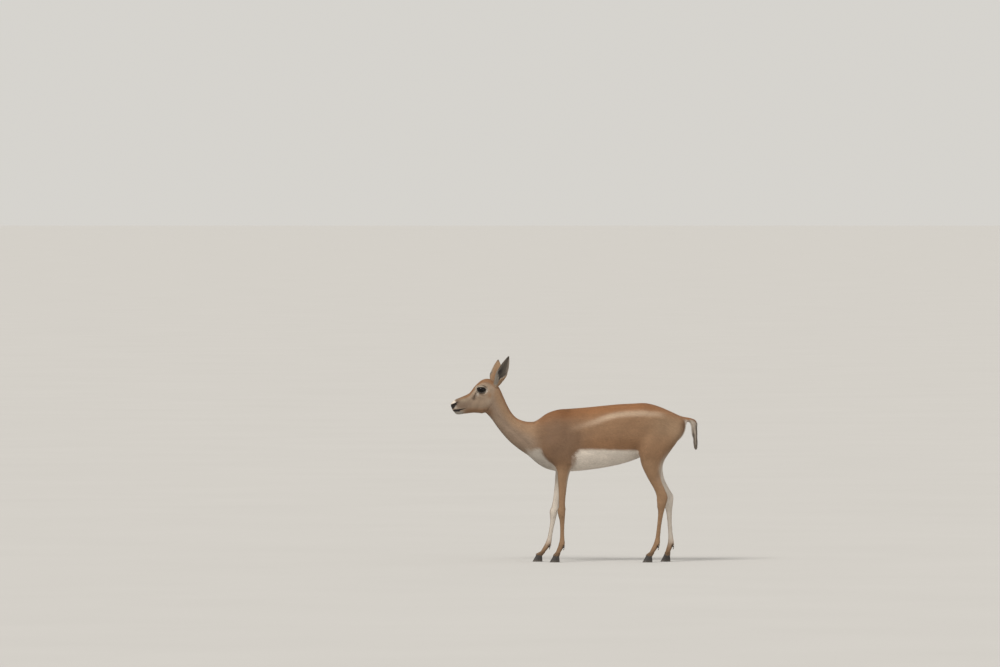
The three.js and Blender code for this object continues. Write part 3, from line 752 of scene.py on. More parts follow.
def markings_and_shade(points, normals, region, along, angle):
    x, y, z = points.T
    flat = points[:, [0, 2]]
    out = np.abs(y)
    rear = normals[:, 0]
    leg = is_fore(region) | is_hind(region)
    from_top = np.where(leg, 80, np.degrees(np.arccos(np.clip(np.cos(angle), -1, 1))))
    colour = SIDE

    def paint(value, share):
        nonlocal colour
        colour = paint_over(colour, [(value, share)])

    wobble = waver(points, 60, 3)
    body = region == TRUNK
    # trunk
    paint(BACK, step(60, 25, from_top) * (x > -200))
    paint(FLANK, bell(z - 566 - 4 * wobble, 36) * step(-30, 40, x) * step(340, 280, x) * 0.9)
    # painted shade: the shoulder and upper arm darkened to a grey-brown, over their own greyer tone
    blade = np.hypot((x + 80) / 1.1, z - 592) + 14 * wobble + 9 * waver(points, 24, 5)
    paint(SHOULDER_TONE_AND_SHADE, 0.8 * step(175, 40, blade) * (z > 470))
    paint(BACK * [0.6, 0.54, 0.46], 0.85 * bell(np.hypot((x + 55) / 1.7, z - 722), 34) * (x > -150))
    paint(HAUNCH, 0.8 * bell(np.hypot((x - 430) / 1.3, z - 655), 62))
    paint(HAUNCH * 1.35, 0.8 * bell(np.hypot(x - 482, (z - 630) / 1.4), 34))
    stripe, place = line_distance(flat, STRIPE_LINE)
    strength = np.interp(place, *zip(*STRIPE_STRENGTH))
    paint(STRIPE, 0.92 * bell(np.maximum(stripe - 3, 0) + 2.2 * wobble, 10.5) * strength * (out > 30))
    paint(BACK * 0.82, 0.7 * bell(np.hypot((x - 360) / 2.2, z - 748), 22))
    # neck
    necky = body * step(-150, -230, x)
    paint(NECK, necky)
    paint(RUFOUS, necky * step(48, 22, from_top) * 0.8)
    paint(GREY * 1.08, necky * step(55, 100, from_top) * (1 - step(-410, -430, x)) * 0.85)
    paint(WHITE * 0.82, necky * step(118, 150, from_top) * step(-250, -215, x) * 0.9)
    # belly, chest and the insides of the legs
    border = np.interp(x, *zip(*BELLY_LINE))
    under = step(border + 7, border - 7, z + 4 * wobble)
    trunk = body & (x > -236)
    # the white below turns a third darker towards the chest: painted shade
    paint(mix(WHITE, WHITE * 0.66, step(-90, -130, x)[:, None]), trunk * under)
    seat = (x > 400) * (z > 480) * (out < 40) * step(46, 26, out + 4 * wobble)
    paint(WHITE, seat * step(0.1, 0.45, rear) * step(690, 672, z))
    edge = bell(out - 52 - 4 * wobble, 10) * step(0.2, 0.5, rear)
    paint(FLANK * 0.8, edge * (x > 440) * (z > 530) * (z < 690) * 0.8)
    paint(LEG, leg * np.where(is_fore(region), step(480, 440, z), step(520, 470, z)))
    inner = -normals[:, 1] * np.sign(y)
    armpit = x - np.interp(z, *zip(*ARMPIT_LINE))
    paint(WHITE, is_fore(region) * step(-5, 6, armpit + 3 * wobble) * step(542, 522, z))
    paint(WHITE * 0.92, leg * step(0.05, 0.55, inner + 0.12 * wobble) * step(600, 560, z) * step(60, 130, z))
    paint(WHITE * 0.9, leg * step(0.35, 0.8, rear) * step(560, 480, z) * step(330, 400, z) * 0.5)
    paint(LEG * 0.62, leg * step(0.5, 0.95, -rear) * step(300, 240, z) * 0.45)
    paint(LEG * 0.55, leg * step(74, 42, z) * 0.75)
    # head
    head = body & (along > HEAD_FROM)
    h = head * step(-392, -412, x - 0.4 * (z - 790))

    def spot(value, cx, cz, rx, rz, share):
        paint(value, h * share * np.exp(-(((x - cx) / rx) ** 2) - ((z - cz) / rz) ** 2))

    paint(CHEEK, h)
    paint(RUFOUS, h * step(60, 38, from_top) * step(-575, -545, x))
    spot(PALE, -404, 768, 22, 30, 0.45)
    spot(CHEEK * 1.25, -478, 768, 30, 12, 0.5)
    # the lower jaw browner: partly its own brown, partly painted shade below the jaw
    paint(FLANK * 1.05, h * step(750, 726, z) * step(-545, -512, x) * 0.8)
    # painted shade in the angle of the jaw and the top of the throat: two dark rufous patches
    spot(RUFOUS * 0.5, -408, 724, 22, 14, 0.85)
    throat = np.exp(-(((x + 415) / 20) ** 2) - ((z - 720) / 24) ** 2)
    paint(RUFOUS * 0.66, body * throat * 0.8)
    spot(CHEEK * 0.4, -530, 762, 38, 26, 0.66)
    spot(OLIVE, -536, 777, 17, 9, 0.65)
    spot(BRIDGE * 1.35, -540, 750, 24, 11, 0.75)
    spot(BRIDGE * 0.9, -565, 768, 11, 14, 0.9)
    spot(RUFOUS, -411, 802, 12, 14, 0.6)
    spot(BRIDGE * 1.6, -516, 758, 18, 16, 0.25)
    bridge = h * bell(y, 9) * step(-575, -556, x) * (1 - step(-500, -470, x)) * (z > 760)
    paint(BRIDGE * 1.6, bridge * 0.6)
    roof = nose_roof(x)
    paint(WHITE, h * step(-567, -575, x + 0.5 * wobble + 0.6 * (z - 764)) * step(roof - 1, roof + 1.5, z))
    paint(WHITE * 0.47, h * step(-526, -552, x) * step(727, 721, z))
    spot(WHITE * 0.7, -575, 743, 8, 7, 0.85)
    lids = lid_distance(points)
    face = head & (np.abs(normals[:, 1]) > 0.2) & (out > 20)
    ring = face * step(15.5, 8.5, lids + 1.5 * wobble)
    paint(PALE * 0.84, ring)
    # painted shade under the eye: the lower part of the pale ring darkened to half
    paint(PALE * 0.5, ring * step(818, 808, z) * 0.9)
    spot(WHITE * 0.6, -469, 807, 9, 11, 0.9 * face)
    spot(WHITE * 0.7, -424, 819, 8, 15, 0.85 * face * (lids < 13))
    # painted shade: a grey-brown patch just below the eye
    spot(BRIDGE * 1.5, -449, 804, 16, 8, 0.75 * face)
    brow = line_distance(flat, BROW_LINE)[0]
    paint(BRIDGE, face * bell(brow, 3.2) * 0.25)
    gland, place = line_distance(flat, STREAK)
    paint(BRIDGE * 0.8, face * bell(np.maximum(gland - 1.2, 0), 3.0 + 5.0 * place) * (0.6 + 0.3 * place))
    mouth, place = line_distance(points, MOUTH_LINE)
    wide = np.clip((1 - np.abs(2 * place - 1)) * 2.5, 0, 1)
    paint(DARK * 0.7, head * step(2.0 + 2.6 * wide, 0.6 + 1.8 * wide, mouth))
    low_lip = line_distance(flat, LIP_LINE)[0]
    paint(DARK * 0.5, h * step(7.0, 3.2, low_lip) * step(734, 731, z))
    hole = np.minimum(*(line_distance(points, NOSTRIL_LINE[s])[0] for s in SIDES))
    pad = nose_pad(points)
    paint(DARK * 0.5, head * nose_wedge(points) * 0.97)
    paint(DARK * 0.6, head * pad)
    # painted shade: the nostril's opening darker than the dark nose round it
    paint(DARK * 0.3, head * step(3.4, 1.6, hole))
    paint(DARK * 0.7, face * step(4.8, 3.0, lids))
    bare = np.clip(head * (pad + step(3.4, 2.0, hole) + step(4.2, 2.8, lids) * face), 0, 1)
    bare = np.maximum(bare, head * step(2.2, 1.2, mouth))
    # bases of the ears
    for s in SIDES:
        local = (points - ear_root(s)) @ ear_matrix(s)
        ahead = 1 - (np.arctan2(s * local[:, 1], local[:, 0] + 3) / (2 * np.pi)) % 1
        base = bell(np.linalg.norm(points - ear_root(s) - 10 * ear_matrix(s)[:, 2], axis=1), 17)
        paint(EAR_BACK, head * base * 0.9)
        paint(EAR_GREY, head * base * step(0.68, 0.84, ahead) * 0.9)
    # tail
    tail = region == TAIL_REGION
    paint(BACK * 0.95, tail)
    paint(BRIDGE, tail * step(668, 645, z))
    paint(WHITE * 0.85, tail * step(-0.1, 0.5, -rear - normals[:, 2]))
    mottle = 0.08 * waver(points, 46, 11) + 0.05 * waver(points, 15, 12) + 0.03 * waver(points, 7, 13)
    colour *= (1 + mottle)[:, None]
    return np.clip(colour, 0.008, 0.9), bare


# Unwrap by region and facing, with charts of their own for the head and the neck

HEAD_CHART, NECK_CHART = 6, 7
CHART_GAP = 10.0


def unwrap(points, quads, normals, region, along):
    """One chart per region and main direction, packed in rows. Gives the place of each corner."""
    neck_or_trunk = np.where(along > NECK_FROM, NECK_CHART, TRUNK)
    part = np.where(region == TRUNK, np.where(along > HEAD_FROM, HEAD_CHART, neck_or_trunk), region)
    face_part = part[quads[:, 0]]
    centre_normal = normals[quads].mean(axis=1)
    axis = np.abs(centre_normal).argmax(axis=1)
    sign = centre_normal[np.arange(len(quads)), axis] > 0
    chart = face_part * 6 + axis * 2 + sign
    density = np.where(face_part == HEAD_CHART, 2.2, np.where(face_part == TRUNK, 1.0, 1.25))
    uv = np.zeros((len(quads), 4, 2))
    boxes = []
    for key in np.unique(chart):
        own = chart == key
        flat = [k for k in range(3) if k != (key % 6) // 2]
        local = points[quads[own]][:, :, flat] * density[own][0]
        low = local.reshape(-1, 2).min(axis=0)
        uv[own] = local - low
        boxes.append((key, local.reshape(-1, 2).max(axis=0) - low))
    boxes.sort(key=lambda item: -item[1][1])

    def place(width):
        spots, x, y, row = {}, CHART_GAP, CHART_GAP, 0
        for key, size in boxes:
            if x + size[0] + CHART_GAP > width:
                x, y, row = CHART_GAP, y + row + CHART_GAP, 0
            spots[key] = (x, y)
            x += size[0] + CHART_GAP
            row = max(row, size[1])
        return spots, y + row + CHART_GAP

    width = min(np.arange(900, 5200, 50), key=lambda w: max(w, place(w)[1]))
    spots, height = place(width)
    scale = 1 / max(width, height)
    for key, spot in spots.items():
        own = chart == key
        uv[own] = (uv[own] + spot) * scale
    return uv


def store_uv(mesh, uv):
    layer = mesh.uv_layers.new(name="OFBake")
    layer.data.foreach_set("uv", np.asarray(uv, np.float32).ravel())


# Materials

PUPIL = (0.0078, 0.0036)
IRIS_EDGE = (0.0125, 0.0155)


class Tree:
    """A short way to write a material's nodes."""

    def __init__(self, name):
        self.material = bpy.data.materials.new(name)
        self.material.use_nodes = True
        self.tree = self.material.node_tree
        self.shader = self.tree.nodes["Principled BSDF"]
        self.where = self.node("ShaderNodeTexCoord").outputs["Object"]

    def node(self, kind, **options):
        made = self.tree.nodes.new(kind)
        for key, value in options.items():
            setattr(made, key, value)
        return made

    def link(self, source, target):
        if isinstance(source, bpy.types.NodeSocket):
            self.tree.links.new(source, target)
        else:
            target.default_value = source

    def attribute(self, name):
        return self.node("ShaderNodeAttribute", attribute_name=name).outputs["Color"]

    def split(self, kind, source):
        made = self.node(kind)
        self.link(source, made.inputs[0])
        return made.outputs

    def math(self, operation, a, b=0.0, clamp=False):
        made = self.node("ShaderNodeMath", operation=operation, use_clamp=clamp)
        self.link(a, made.inputs[0])
        self.link(b, made.inputs[1])
        return made.outputs[0]

    def texture(self, kind, where=None, options=None, **inputs):
        """A texture laid out by the piece's own place."""
        made = self.node(kind, **(options or {}))
        for key, value in inputs.items():
            made.inputs[key].default_value = value
        self.link(self.where if where is None else where, made.inputs["Vector"])
        return made.outputs

    def noise(self, scale, detail=3.0, roughness=0.55, stretch=None, distortion=0.0):
        where = None
        if stretch:
            mapping = self.node("ShaderNodeMapping")
            mapping.inputs["Scale"].default_value = stretch
            self.link(self.where, mapping.inputs["Vector"])
            where = mapping.outputs[0]
        inputs = {"Scale": scale, "Detail": detail, "Roughness": roughness, "Distortion": distortion}
        return self.texture("ShaderNodeTexNoise", where, **inputs)["Fac"]

    def spread(self, noise, low, high):
        """Stretches the middle of a noise over a range of its own."""
        return self.map_range(noise, 0.3, 0.7, low, high)

    def map_range(self, value, a, b, c, d):
        made = self.node("ShaderNodeMapRange")
        self.link(value, made.inputs["Value"])
        for key, number in zip(("From Min", "From Max", "To Min", "To Max"), (a, b, c, d)):
            self.link(number, made.inputs[key])
        return made.outputs[0]

    def mix_colour(self, share, a, b, blend="MIX"):
        made = self.node("ShaderNodeMix", data_type="RGBA", blend_type=blend)
        self.link(share, made.inputs[0])
        self.link(a, made.inputs[6])
        self.link(b, made.inputs[7])
        return made.outputs[2]

    def mix_value(self, share, a, b):
        made = self.node("ShaderNodeMix", data_type="FLOAT")
        for k, value in zip((0, 2, 3), (share, a, b)):
            self.link(value, made.inputs[k])
        return made.outputs[0]

    def bump(self, height, distance, strength):
        made = self.node("ShaderNodeBump")
        made.inputs["Distance"].default_value = distance
        made.inputs["Strength"].default_value = strength
        self.link(height, made.inputs["Height"])
        return made.outputs[0]

    def set(self, **values):
        names = {
            "colour": "Base Color",
            "rough": "Roughness",
            "normal": "Normal",
            "sheen": "Sheen Weight",
            "sheen_rough": "Sheen Roughness",
            "coat": "Coat Weight",
            "coat_rough": "Coat Roughness",
            "specular": "Specular IOR Level",
        }
        for key, value in values.items():
            self.link(value, self.shader.inputs[names[key]])
        return self.material


def fur_skin_material():
    """Skin under the tufts: the painted coat, broken into fine strands that run with its lie."""
    t = Tree("skin")
    coat = t.attribute("coat")
    bare, upright, _ = t.split("ShaderNodeSeparateColor", t.attribute("masks"))
    level = t.noise(900, 2, 0.6, stretch=(0.16, 1, 0.75))
    hanging = t.noise(900, 2, 0.6, stretch=(1, 1, 0.14))
    strands = t.mix_value(upright, level, hanging)
    shade = t.math("MULTIPLY", t.spread(strands, 0.90, 1.08), t.spread(t.noise(55, 4, 0.6), 0.95, 1.05))
    furred = t.mix_colour(1.0, coat, shade, "MULTIPLY")
    pores = t.texture("ShaderNodeTexVoronoi", Scale=620)["Distance"]
    return t.set(
        colour=t.mix_colour(bare, furred, coat),
        rough=t.map_range(bare, 0, 1, 0.82, 0.46),
        normal=t.bump(t.mix_value(bare, strands, pores), 0.0006, 0.55),
        specular=0.3,
    )


def tuft_material(name, rough=0.72):
    t = Tree(name)
    shade = t.spread(t.noise(1500, 2, 0.5), 0.88, 1.1)
    colour = t.mix_colour(1.0, t.attribute("coat"), shade, "MULTIPLY")
    return t.set(colour=colour, rough=rough, specular=0.28, sheen=0.12, sheen_rough=0.4)


def horn_material():
    """Dark horn with level growth rings, paler where the edge is worn by the ground."""
    t = Tree("horn_of_the_hooves")
    bands = {"wave_type": "BANDS", "bands_direction": "Z"}
    rings = t.texture("ShaderNodeTexWave", options=bands, Scale=95, Distortion=3.2, Detail=2)["Fac"]
    grain = t.noise(700, 4, 0.6, stretch=(1, 1, 0.2))
    height = t.split("ShaderNodeSeparateXYZ", t.where)["Z"]
    worn = t.map_range(height, 0.0, 0.012, 1.0, 0.0)
    worn = t.math("MULTIPLY", worn, t.map_range(t.noise(160, 4, 0.6), 0.35, 0.65, 0.2, 1.0), clamp=True)
    dark = t.mix_colour(t.spread(grain, 0, 1), (0.016, 0.014, 0.013, 1), (0.045, 0.038, 0.033, 1))
    relief = t.math("ADD", t.math("MULTIPLY", rings, 0.5), t.math("MULTIPLY", grain, 0.5))
    return t.set(
        colour=t.mix_colour(worn, dark, (0.115, 0.095, 0.078, 1)),
        rough=t.spread(grain, 0.38, 0.6),
        normal=t.bump(relief, 0.0006, 0.6),
        specular=0.45,
    )


def eye_material(centre, side):
    """A dark iris with a wide level pupil, laid out round the middle of the eyeball; sizes in metres."""
    t = Tree(f"eye_{SIDES[side]}")
    place = t.node("ShaderNodeMapping", vector_type="POINT")
    place.inputs["Location"].default_value = [-c for c in centre]
    t.link(t.where, place.inputs["Vector"])
    x, _, z = t.split("ShaderNodeSeparateXYZ", place.outputs[0])
    x_part, z_part = (
        t.math("POWER", t.math("ABSOLUTE", t.math("DIVIDE", value, half)), 2.6)
        for value, half in zip((x, z), PUPIL)
    )
    pupil = t.map_range(t.math("ADD", x_part, z_part), 0.8, 1.25, 1.0, 0.0)
    r = t.math("SQRT", t.math("ADD", t.math("POWER", x, 2.0), t.math("POWER", z, 2.0)))
    fibres = t.spread(t.noise(420, 4, 0.65, distortion=0.6), 0, 1)
    colour = t.mix_colour(fibres, (0.004, 0.0026, 0.0018, 1), (0.012, 0.0065, 0.004, 1))
    colour = t.mix_colour(t.map_range(r, *IRIS_EDGE, 0.0, 1.0), colour, (0.006, 0.0045, 0.004, 1))
    colour = t.mix_colour(pupil, colour, (0.0018, 0.0016, 0.002, 1))
    return t.set(colour=colour, rough=0.2, specular=0.08, coat=0.16, coat_rough=0.03)


# Tufts


# Seven points a tuft: three at the root, three half-way along and the tip, with its patch on the unwrap
TUFT_UNDER = [[3, 0, 1], [4, 3, 1], [6, 3, 4], [2, 1, 0]]
TUFT_OVER = [[4, 1, 2], [5, 4, 2], [5, 2, 0], [3, 5, 0], [6, 4, 5], [6, 5, 3]]
TUFT_FACES = np.array(TUFT_UNDER + TUFT_OVER)
TUFT_SHADE = np.array([0.95, 0.95, 0.96, 1.0, 1.0, 1.01, 1.04])
TUFT_PATCH = np.array([[-1, -1], [1, -1], [0, -0.8], [-0.9, 0.2], [0.9, 0.2], [0, 0.3], [0, 1]]) * 0.0015
TUFTS_A_PIECE = 18500


def tuft_mesh(name, verts, normals, colour, uv):
    """Tufts joined in one mesh, from seven points for each and the normal of each corner."""
    n = len(verts)
    tris = (TUFT_FACES[None] + 7 * np.arange(n)[:, None, None]).reshape(-1, 3)
    mesh = bpy.data.meshes.new(name)
    mesh.vertices.add(7 * n)
    mesh.vertices.foreach_set("co", ((verts.reshape(-1, 3) + SHIFT) / 1000).astype(np.float32).ravel())
    mesh.loops.add(tris.size)
    mesh.loops.foreach_set("vertex_index", tris.astype(np.int32).ravel())
    mesh.polygons.add(len(tris))
    mesh.polygons.foreach_set("loop_start", np.arange(0, tris.size, 3, dtype=np.int32))
    mesh.polygons.foreach_set("loop_total", np.full(len(tris), 3, np.int32))
    mesh.polygons.foreach_set("use_smooth", np.ones(len(tris), bool))
    mesh.update(calc_edges=True)
    mesh.normals_split_custom_set(normals.reshape(-1, 3))
    tint = np.clip(colour[:, None, :] * TUFT_SHADE[None, :, None], 0.004, 0.95)
    store_colour(mesh, "coat", tint.reshape(-1, 3))
    places = (uv[:, None, :] + TUFT_PATCH[None]).reshape(-1, 2)
    store_uv(mesh, places[tris.ravel()])
    return mesh


def tuft_pieces(
    name, root, normal, lie, length, width, lift, colour, uv, slot, material, curl=0.35, follow=None
):
    """Short tapered tufts that rise from root along lie, in joined meshes of closed tufts.

    follow gives the nearest place of the skin and its normal, for a coat that lies on it.
    """
    count = len(root)
    across = unit(np.cross(normal, lie))
    lie = unit(np.cross(across, normal))
    length, width, lift = (np.broadcast_to(v, count).astype(float)[:, None] for v in (length, width, lift))
    thick = width * 0.14
    base = root - normal * 0.5
    half_way, half_normal = base + lie * length * 0.5 + normal * 0.3, normal
    end, end_normal = base + lie * length * (1 - 0.04 * curl) + normal * 0.3, normal
    if follow:
        half_way, half_normal = follow(half_way)
        end, end_normal = follow(end)
    middle = half_way + half_normal * (0.12 + lift * 0.5)
    tip = end + end_normal * (0.05 + lift * (0.9 + 0.2 * curl))
    low = [base - across * width * 0.42, base + across * width * 0.42, base + normal * thick]
    high = [middle - across * width * 0.5, middle + across * width * 0.5, middle + half_normal * thick]
    verts = np.stack([*low, *high, tip], axis=1)
    # The upper sides take the light of the coat below them, so that the tufts part it softly.
    corners = TUFT_FACES.ravel()
    turn = np.array([-0.4, 0.4, 0, -0.4, 0.4, 0, 0])[corners]
    rise = np.repeat([-1.0, 1.0], [3 * len(TUFT_UNDER), 3 * len(TUFT_OVER)])
    point_normals = np.stack([normal] * 3 + [half_normal] * 3 + [end_normal], axis=1)
    soft = turn[None, :, None] * across[:, None, :] + rise[None, :, None] * point_normals[:, corners]
    soft = unit(soft + 0.12 * lie[:, None, :])
    made = []
    for k, start in enumerate(range(0, count, TUFTS_A_PIECE)):
        own = slice(start, start + TUFTS_A_PIECE)
        mesh = tuft_mesh(f"{name}_{k}", verts[own], soft[own], colour[own], uv[own])
        made.append(dress(add_object(f"{name}_{k}", mesh), material))
    return made


def scatter(points, quads, uv, weight, count, seed):
    """Seeded places spread over the quads by area times weight: the quad, its corner weights and uv."""
    local = np.random.default_rng(seed)
    a, b, c, d = (points[quads[:, k]] for k in range(4))
    area = 0.5 * np.linalg.norm(np.cross(c - a, d - b), axis=1) * weight[quads].mean(axis=1)
    total = np.cumsum(area)
    # evenly spaced draws along the faces keep the spread more regular than free ones
    draws = (np.arange(count) + local.uniform(0, 1, count)) / count * total[-1]
    face = np.searchsorted(total, draws).clip(0, len(quads) - 1)
    s, t = local.uniform(0, 1, (2, count))
    share = np.stack([(1 - s) * (1 - t), s * (1 - t), s * t, (1 - s) * t], -1)
    corner = quads[face]
    return corner, share, (uv[face] * share[:, :, None]).sum(axis=1), local


# Build: skin

FEET_BELOW = 110
JAW_CREASE = [(-424, 722), (-407, 743), (-388, 764)]

points, quads = build_skin()
edges = edges_of(quads)
region, along, angle, flow = locate(points)
is_leg = is_fore(region) | is_hind(region)
on_face = (region == TRUNK) & (along > HEAD_FROM)
on_foot = points[:, 2] < FEET_BELOW
points = relax(points, edges, 10, np.where(on_face, 0.22, 0.5) * np.where(on_foot, 0.5, 1))
points = relax(points, edges, 40, 0.5 * near_seams(points, edges, region))
jaw = step(34, 12, np.linalg.norm(points - [-421, 0, 722], axis=1) - 0.35 * np.abs(points[:, 1]))
points = relax(points, edges, 30, 0.5 * jaw)
crease = line_distance(points[:, [0, 2]], JAW_CREASE)[0]
points = relax(points, edges, 30, 0.5 * step(20, 8, crease))
normals = normals_of(points, quads)
x, y, z = points.T
height = side_forms(points, normals, BODY_FORMS) * ((region == TRUNK) | (z > 470)) * ~on_face
height += side_forms(points, normals, HEAD_FORMS) * on_face
ribs = 0.55 * np.sin((x + 0.35 * (z - 600)) * 2 * np.pi / 31)
height += ribs * step(50, 90, x) * step(270, 220, x) * bell(z - 590, 75) * (region == TRUNK)
height += leg_forms(points, region, angle)
points = points + normals * height[:, None]
points = relax(points, edges, 2, np.where(on_face, 0.15, 0.4) * np.where(points[:, 2] < FEET_BELOW, 0.4, 1))
points = model_head(points, normals_of(points, quads))
normals = normals_of(points, quads)
x, y, z = points.T

colour, bare = markings_and_shade(points, normals, region, along, angle)
colour = relax(colour, edges, 5, np.where(on_face, 0.0, 0.5))
uv = unwrap(points, quads, normals, region, along)

# The lie of the coat: back along the head, neck and trunk, and down the legs
leg_share = np.where(is_fore(region), step(610, 500, z), np.where(is_hind(region), step(640, 520, z), 0.0))
body_flow = flow.copy()
body_flow[is_leg] = [0.9, 0, -0.42]
down = np.where(region == TRUNK, 0.30 * step(0.1, 0.9, np.abs(normals[:, 1])), 0.0)
body_flow[:, 2] -= down * (x > -250)
rear = step(0.35, 0.8, normals[:, 0]) * (region == TRUNK) * step(420, 460, x)
body_flow = mix(body_flow, np.array([0.1, 0, -1.0]), rear[:, None])
lie = mix(unit(body_flow), np.where(is_leg[:, None], flow, 0), leg_share[:, None])
lie = square_to(relax(lie, edges, 12, np.full(len(points), 0.5)), normals)

skin = new_object("skin", points, quads)
store_colour(skin.data, "coat", colour)
store_colour(skin.data, "masks", np.stack([bare, leg_share, np.zeros(len(points))], -1))
store_uv(skin.data, uv)
FLESH = ["rump", "barrel", "chest", "neck", "head", "nose"]
for side in SIDES.values():
    FLESH += [f"{part}_{side}" for part in ("foreleg", "fore_cannon", "fore_pastern", "thigh")]
    FLESH += [f"{part}_{side}" for part in ("hind_shank", "hind_cannon", "hind_pastern")]
dress(skin, fur_skin_material(), FLESH)

# Build: short coat

COAT_TUFTS = 118000
PASTERN_TOP = 56
TAIL_HAIR_FROM = 662  # below this level the tail has long hair alone

short_fur = tuft_material("short_fur")


def fur(name, *hair, **options):
    """Tufts in the coat's own material."""
    return tuft_pieces(name, *hair, "coat", short_fur, **options)


# Tufts are long on the trunk, and shorter down the legs, on the head and round the eyes.
length = np.interp(along, [0, 12, 18, 21, 24, 30], [15, 15, 13, 8, 5.0, 3.6]) * (region == TRUNK)
length = np.where(is_leg, mix(14, 5.5, step(540, 360, z)), length)
length = np.where(is_leg & (z < PASTERN_TOP), 9, length)
length = np.where(region == TAIL_REGION, 16, length)
lids = np.where(on_face & (np.abs(y) > 18), lid_distance(points), 99)
length = np.where(lids < 14, np.minimum(length, 3.2), length)
clear = (1 - step(0.02, 0.2, bare)) * step(4.2, 5.6, lids)
clear *= np.where((region == TAIL_REGION) & (z < TAIL_HAIR_FROM), 0.02, 1)
clear *= np.where(on_face & (np.linalg.norm(points - [-575, 0, 740], axis=1) < 34), 0.8, 1)
density = np.interp(length, [3, 5.5, 8, 15], [6.5, 4.6, 2.3, 1.0]) * clear
corner, share, tuft_uv, draw = scatter(points, quads, uv, density, COAT_TUFTS, 21)


def blend_at(values):
    values = values if values.ndim > 1 else values[:, None]
    return (values[corner] * share[:, :, None]).sum(axis=1)


skin_tree = BVHTree.FromPolygons(points.tolist(), quads.tolist())
skin_normals = unit(normals[quads].mean(axis=1))


def on_skin(places):
    found = [skin_tree.find_nearest(place) for place in places.tolist()]
    return np.array([f[0] for f in found]), skin_normals[[f[2] for f in found]]


root = blend_at(points)
root_normal = unit(blend_at(normals))
root_lie = blend_at(lie) + draw.normal(size=(len(root), 3)) * 0.13
root_length = blend_at(length)[:, 0] * draw.uniform(0.75, 1.2, len(root))
root_colour = blend_at(colour) * shades(draw, len(root), 0.085)
width = np.interp(root_length, [3, 6, 15], [0.85, 1.15, 1.9])
lift = np.interp(root_length, [3, 6, 15], [0.10, 0.20, 0.42]) * draw.uniform(0.4, 1.4, len(root))
hair = (root, root_normal, root_lie, root_length, width, lift, root_colour, tuft_uv)
order = np.argsort(root[:, 0])
fur("short_coat", *(values[order] for values in hair), follow=on_skin)

# Build: ears

EAR_RINGS, EAR_COLUMNS = 84, 56
EAR_FUR, EAR_FOOT_FUR, LINING_HAIRS, CUP_DOWN = 5200, 700, 1500, 1500
EAR_TIP = np.array([0.055, 0.042, 0.034])
CUP = np.array([0.098, 0.083, 0.068])
CUP_DEEP_SHADE = np.array([0.030, 0.026, 0.026])
CUP_LOW = np.array([0.320, 0.280, 0.232])
CUP_RIM = np.array([0.50, 0.42, 0.345])
CUP_TIP = np.array([0.062, 0.052, 0.044])
LINING = np.array([0.34, 0.29, 0.24])


def ear_rings(side):
    """Rings that run round the outside of the cup and back along its inside, with their u and v."""
    rows = ear_stations(side)
    u, v = np.linspace(0.0, 0.985, EAR_RINGS), np.linspace(0, 1, EAR_COLUMNS)
    gap = np.radians(88) * step(0.22, 0.55, u)
    turns = gap[:, None] + v[None] * (2 * np.pi - 2 * gap[:, None])
    t = u * (len(rows) - 1)
    outer = surface(rows, t, turns)
    inner = surface(rows, t, turns, -EAR["wall"] * (1 - 0.55 * u))
    # two soft ridges that run up the inside
    reach = step(0.2, 0.35, u) * step(0.9, 0.7, u)
    ridge = (bell(v - 0.36, 0.035) + bell(v - 0.64, 0.035))[None] * reach[:, None]
    centre = inner.mean(axis=1, keepdims=True)
    inner = inner + unit(centre + [4, 0, 0] - inner) * ridge[..., None]
    return u, v, np.concatenate([outer, inner[:, ::-1]], axis=1)


def ear_colours(u, v, side):
    """The paint of the ear's back and of its cup. u runs from root to tip, v from rim to rim."""
    rim = np.minimum(v, 1 - v)
    ahead = v if side < 0 else 1 - v
    tip = np.maximum(step(0.86, 0.99, u), step(0.14, 0.02, ahead) * step(0.5, 0.75, u))
    back = [
        (RUFOUS * 0.75, bell(ahead - 0.52, 0.11) * step(0.72, 0.5, u) * 0.7),
        (PALE * 0.95, step(0.70, 0.92, ahead) * step(0.9, 0.6, u) * 0.75),
        (EAR_GREY, step(0.68, 0.84, ahead) * step(0.62, 0.42, u)),
        (EAR_TIP, tip * 0.85),
    ]
    cup = [
        # painted shade: a near-black band down the deep middle of the cup, towards its front rim
        (CUP_DEEP_SHADE, bell(u - 0.47, 0.11) * step(0.12, 0.26, rim) * step(0.40, 0.6, ahead)),
        (CUP_LOW, step(0.50, 0.30, u) * step(0.5, 0.8, ahead) * 0.9),
        (CUP_RIM, bell(ahead, 0.07) * step(0.2, 0.34, u) * step(0.99, 0.8, u) * 0.95),
        (CUP_TIP, step(0.84, 0.98, u) * 0.8),
    ]
    return paint_over(EAR_BACK, back), paint_over(CUP, cup)


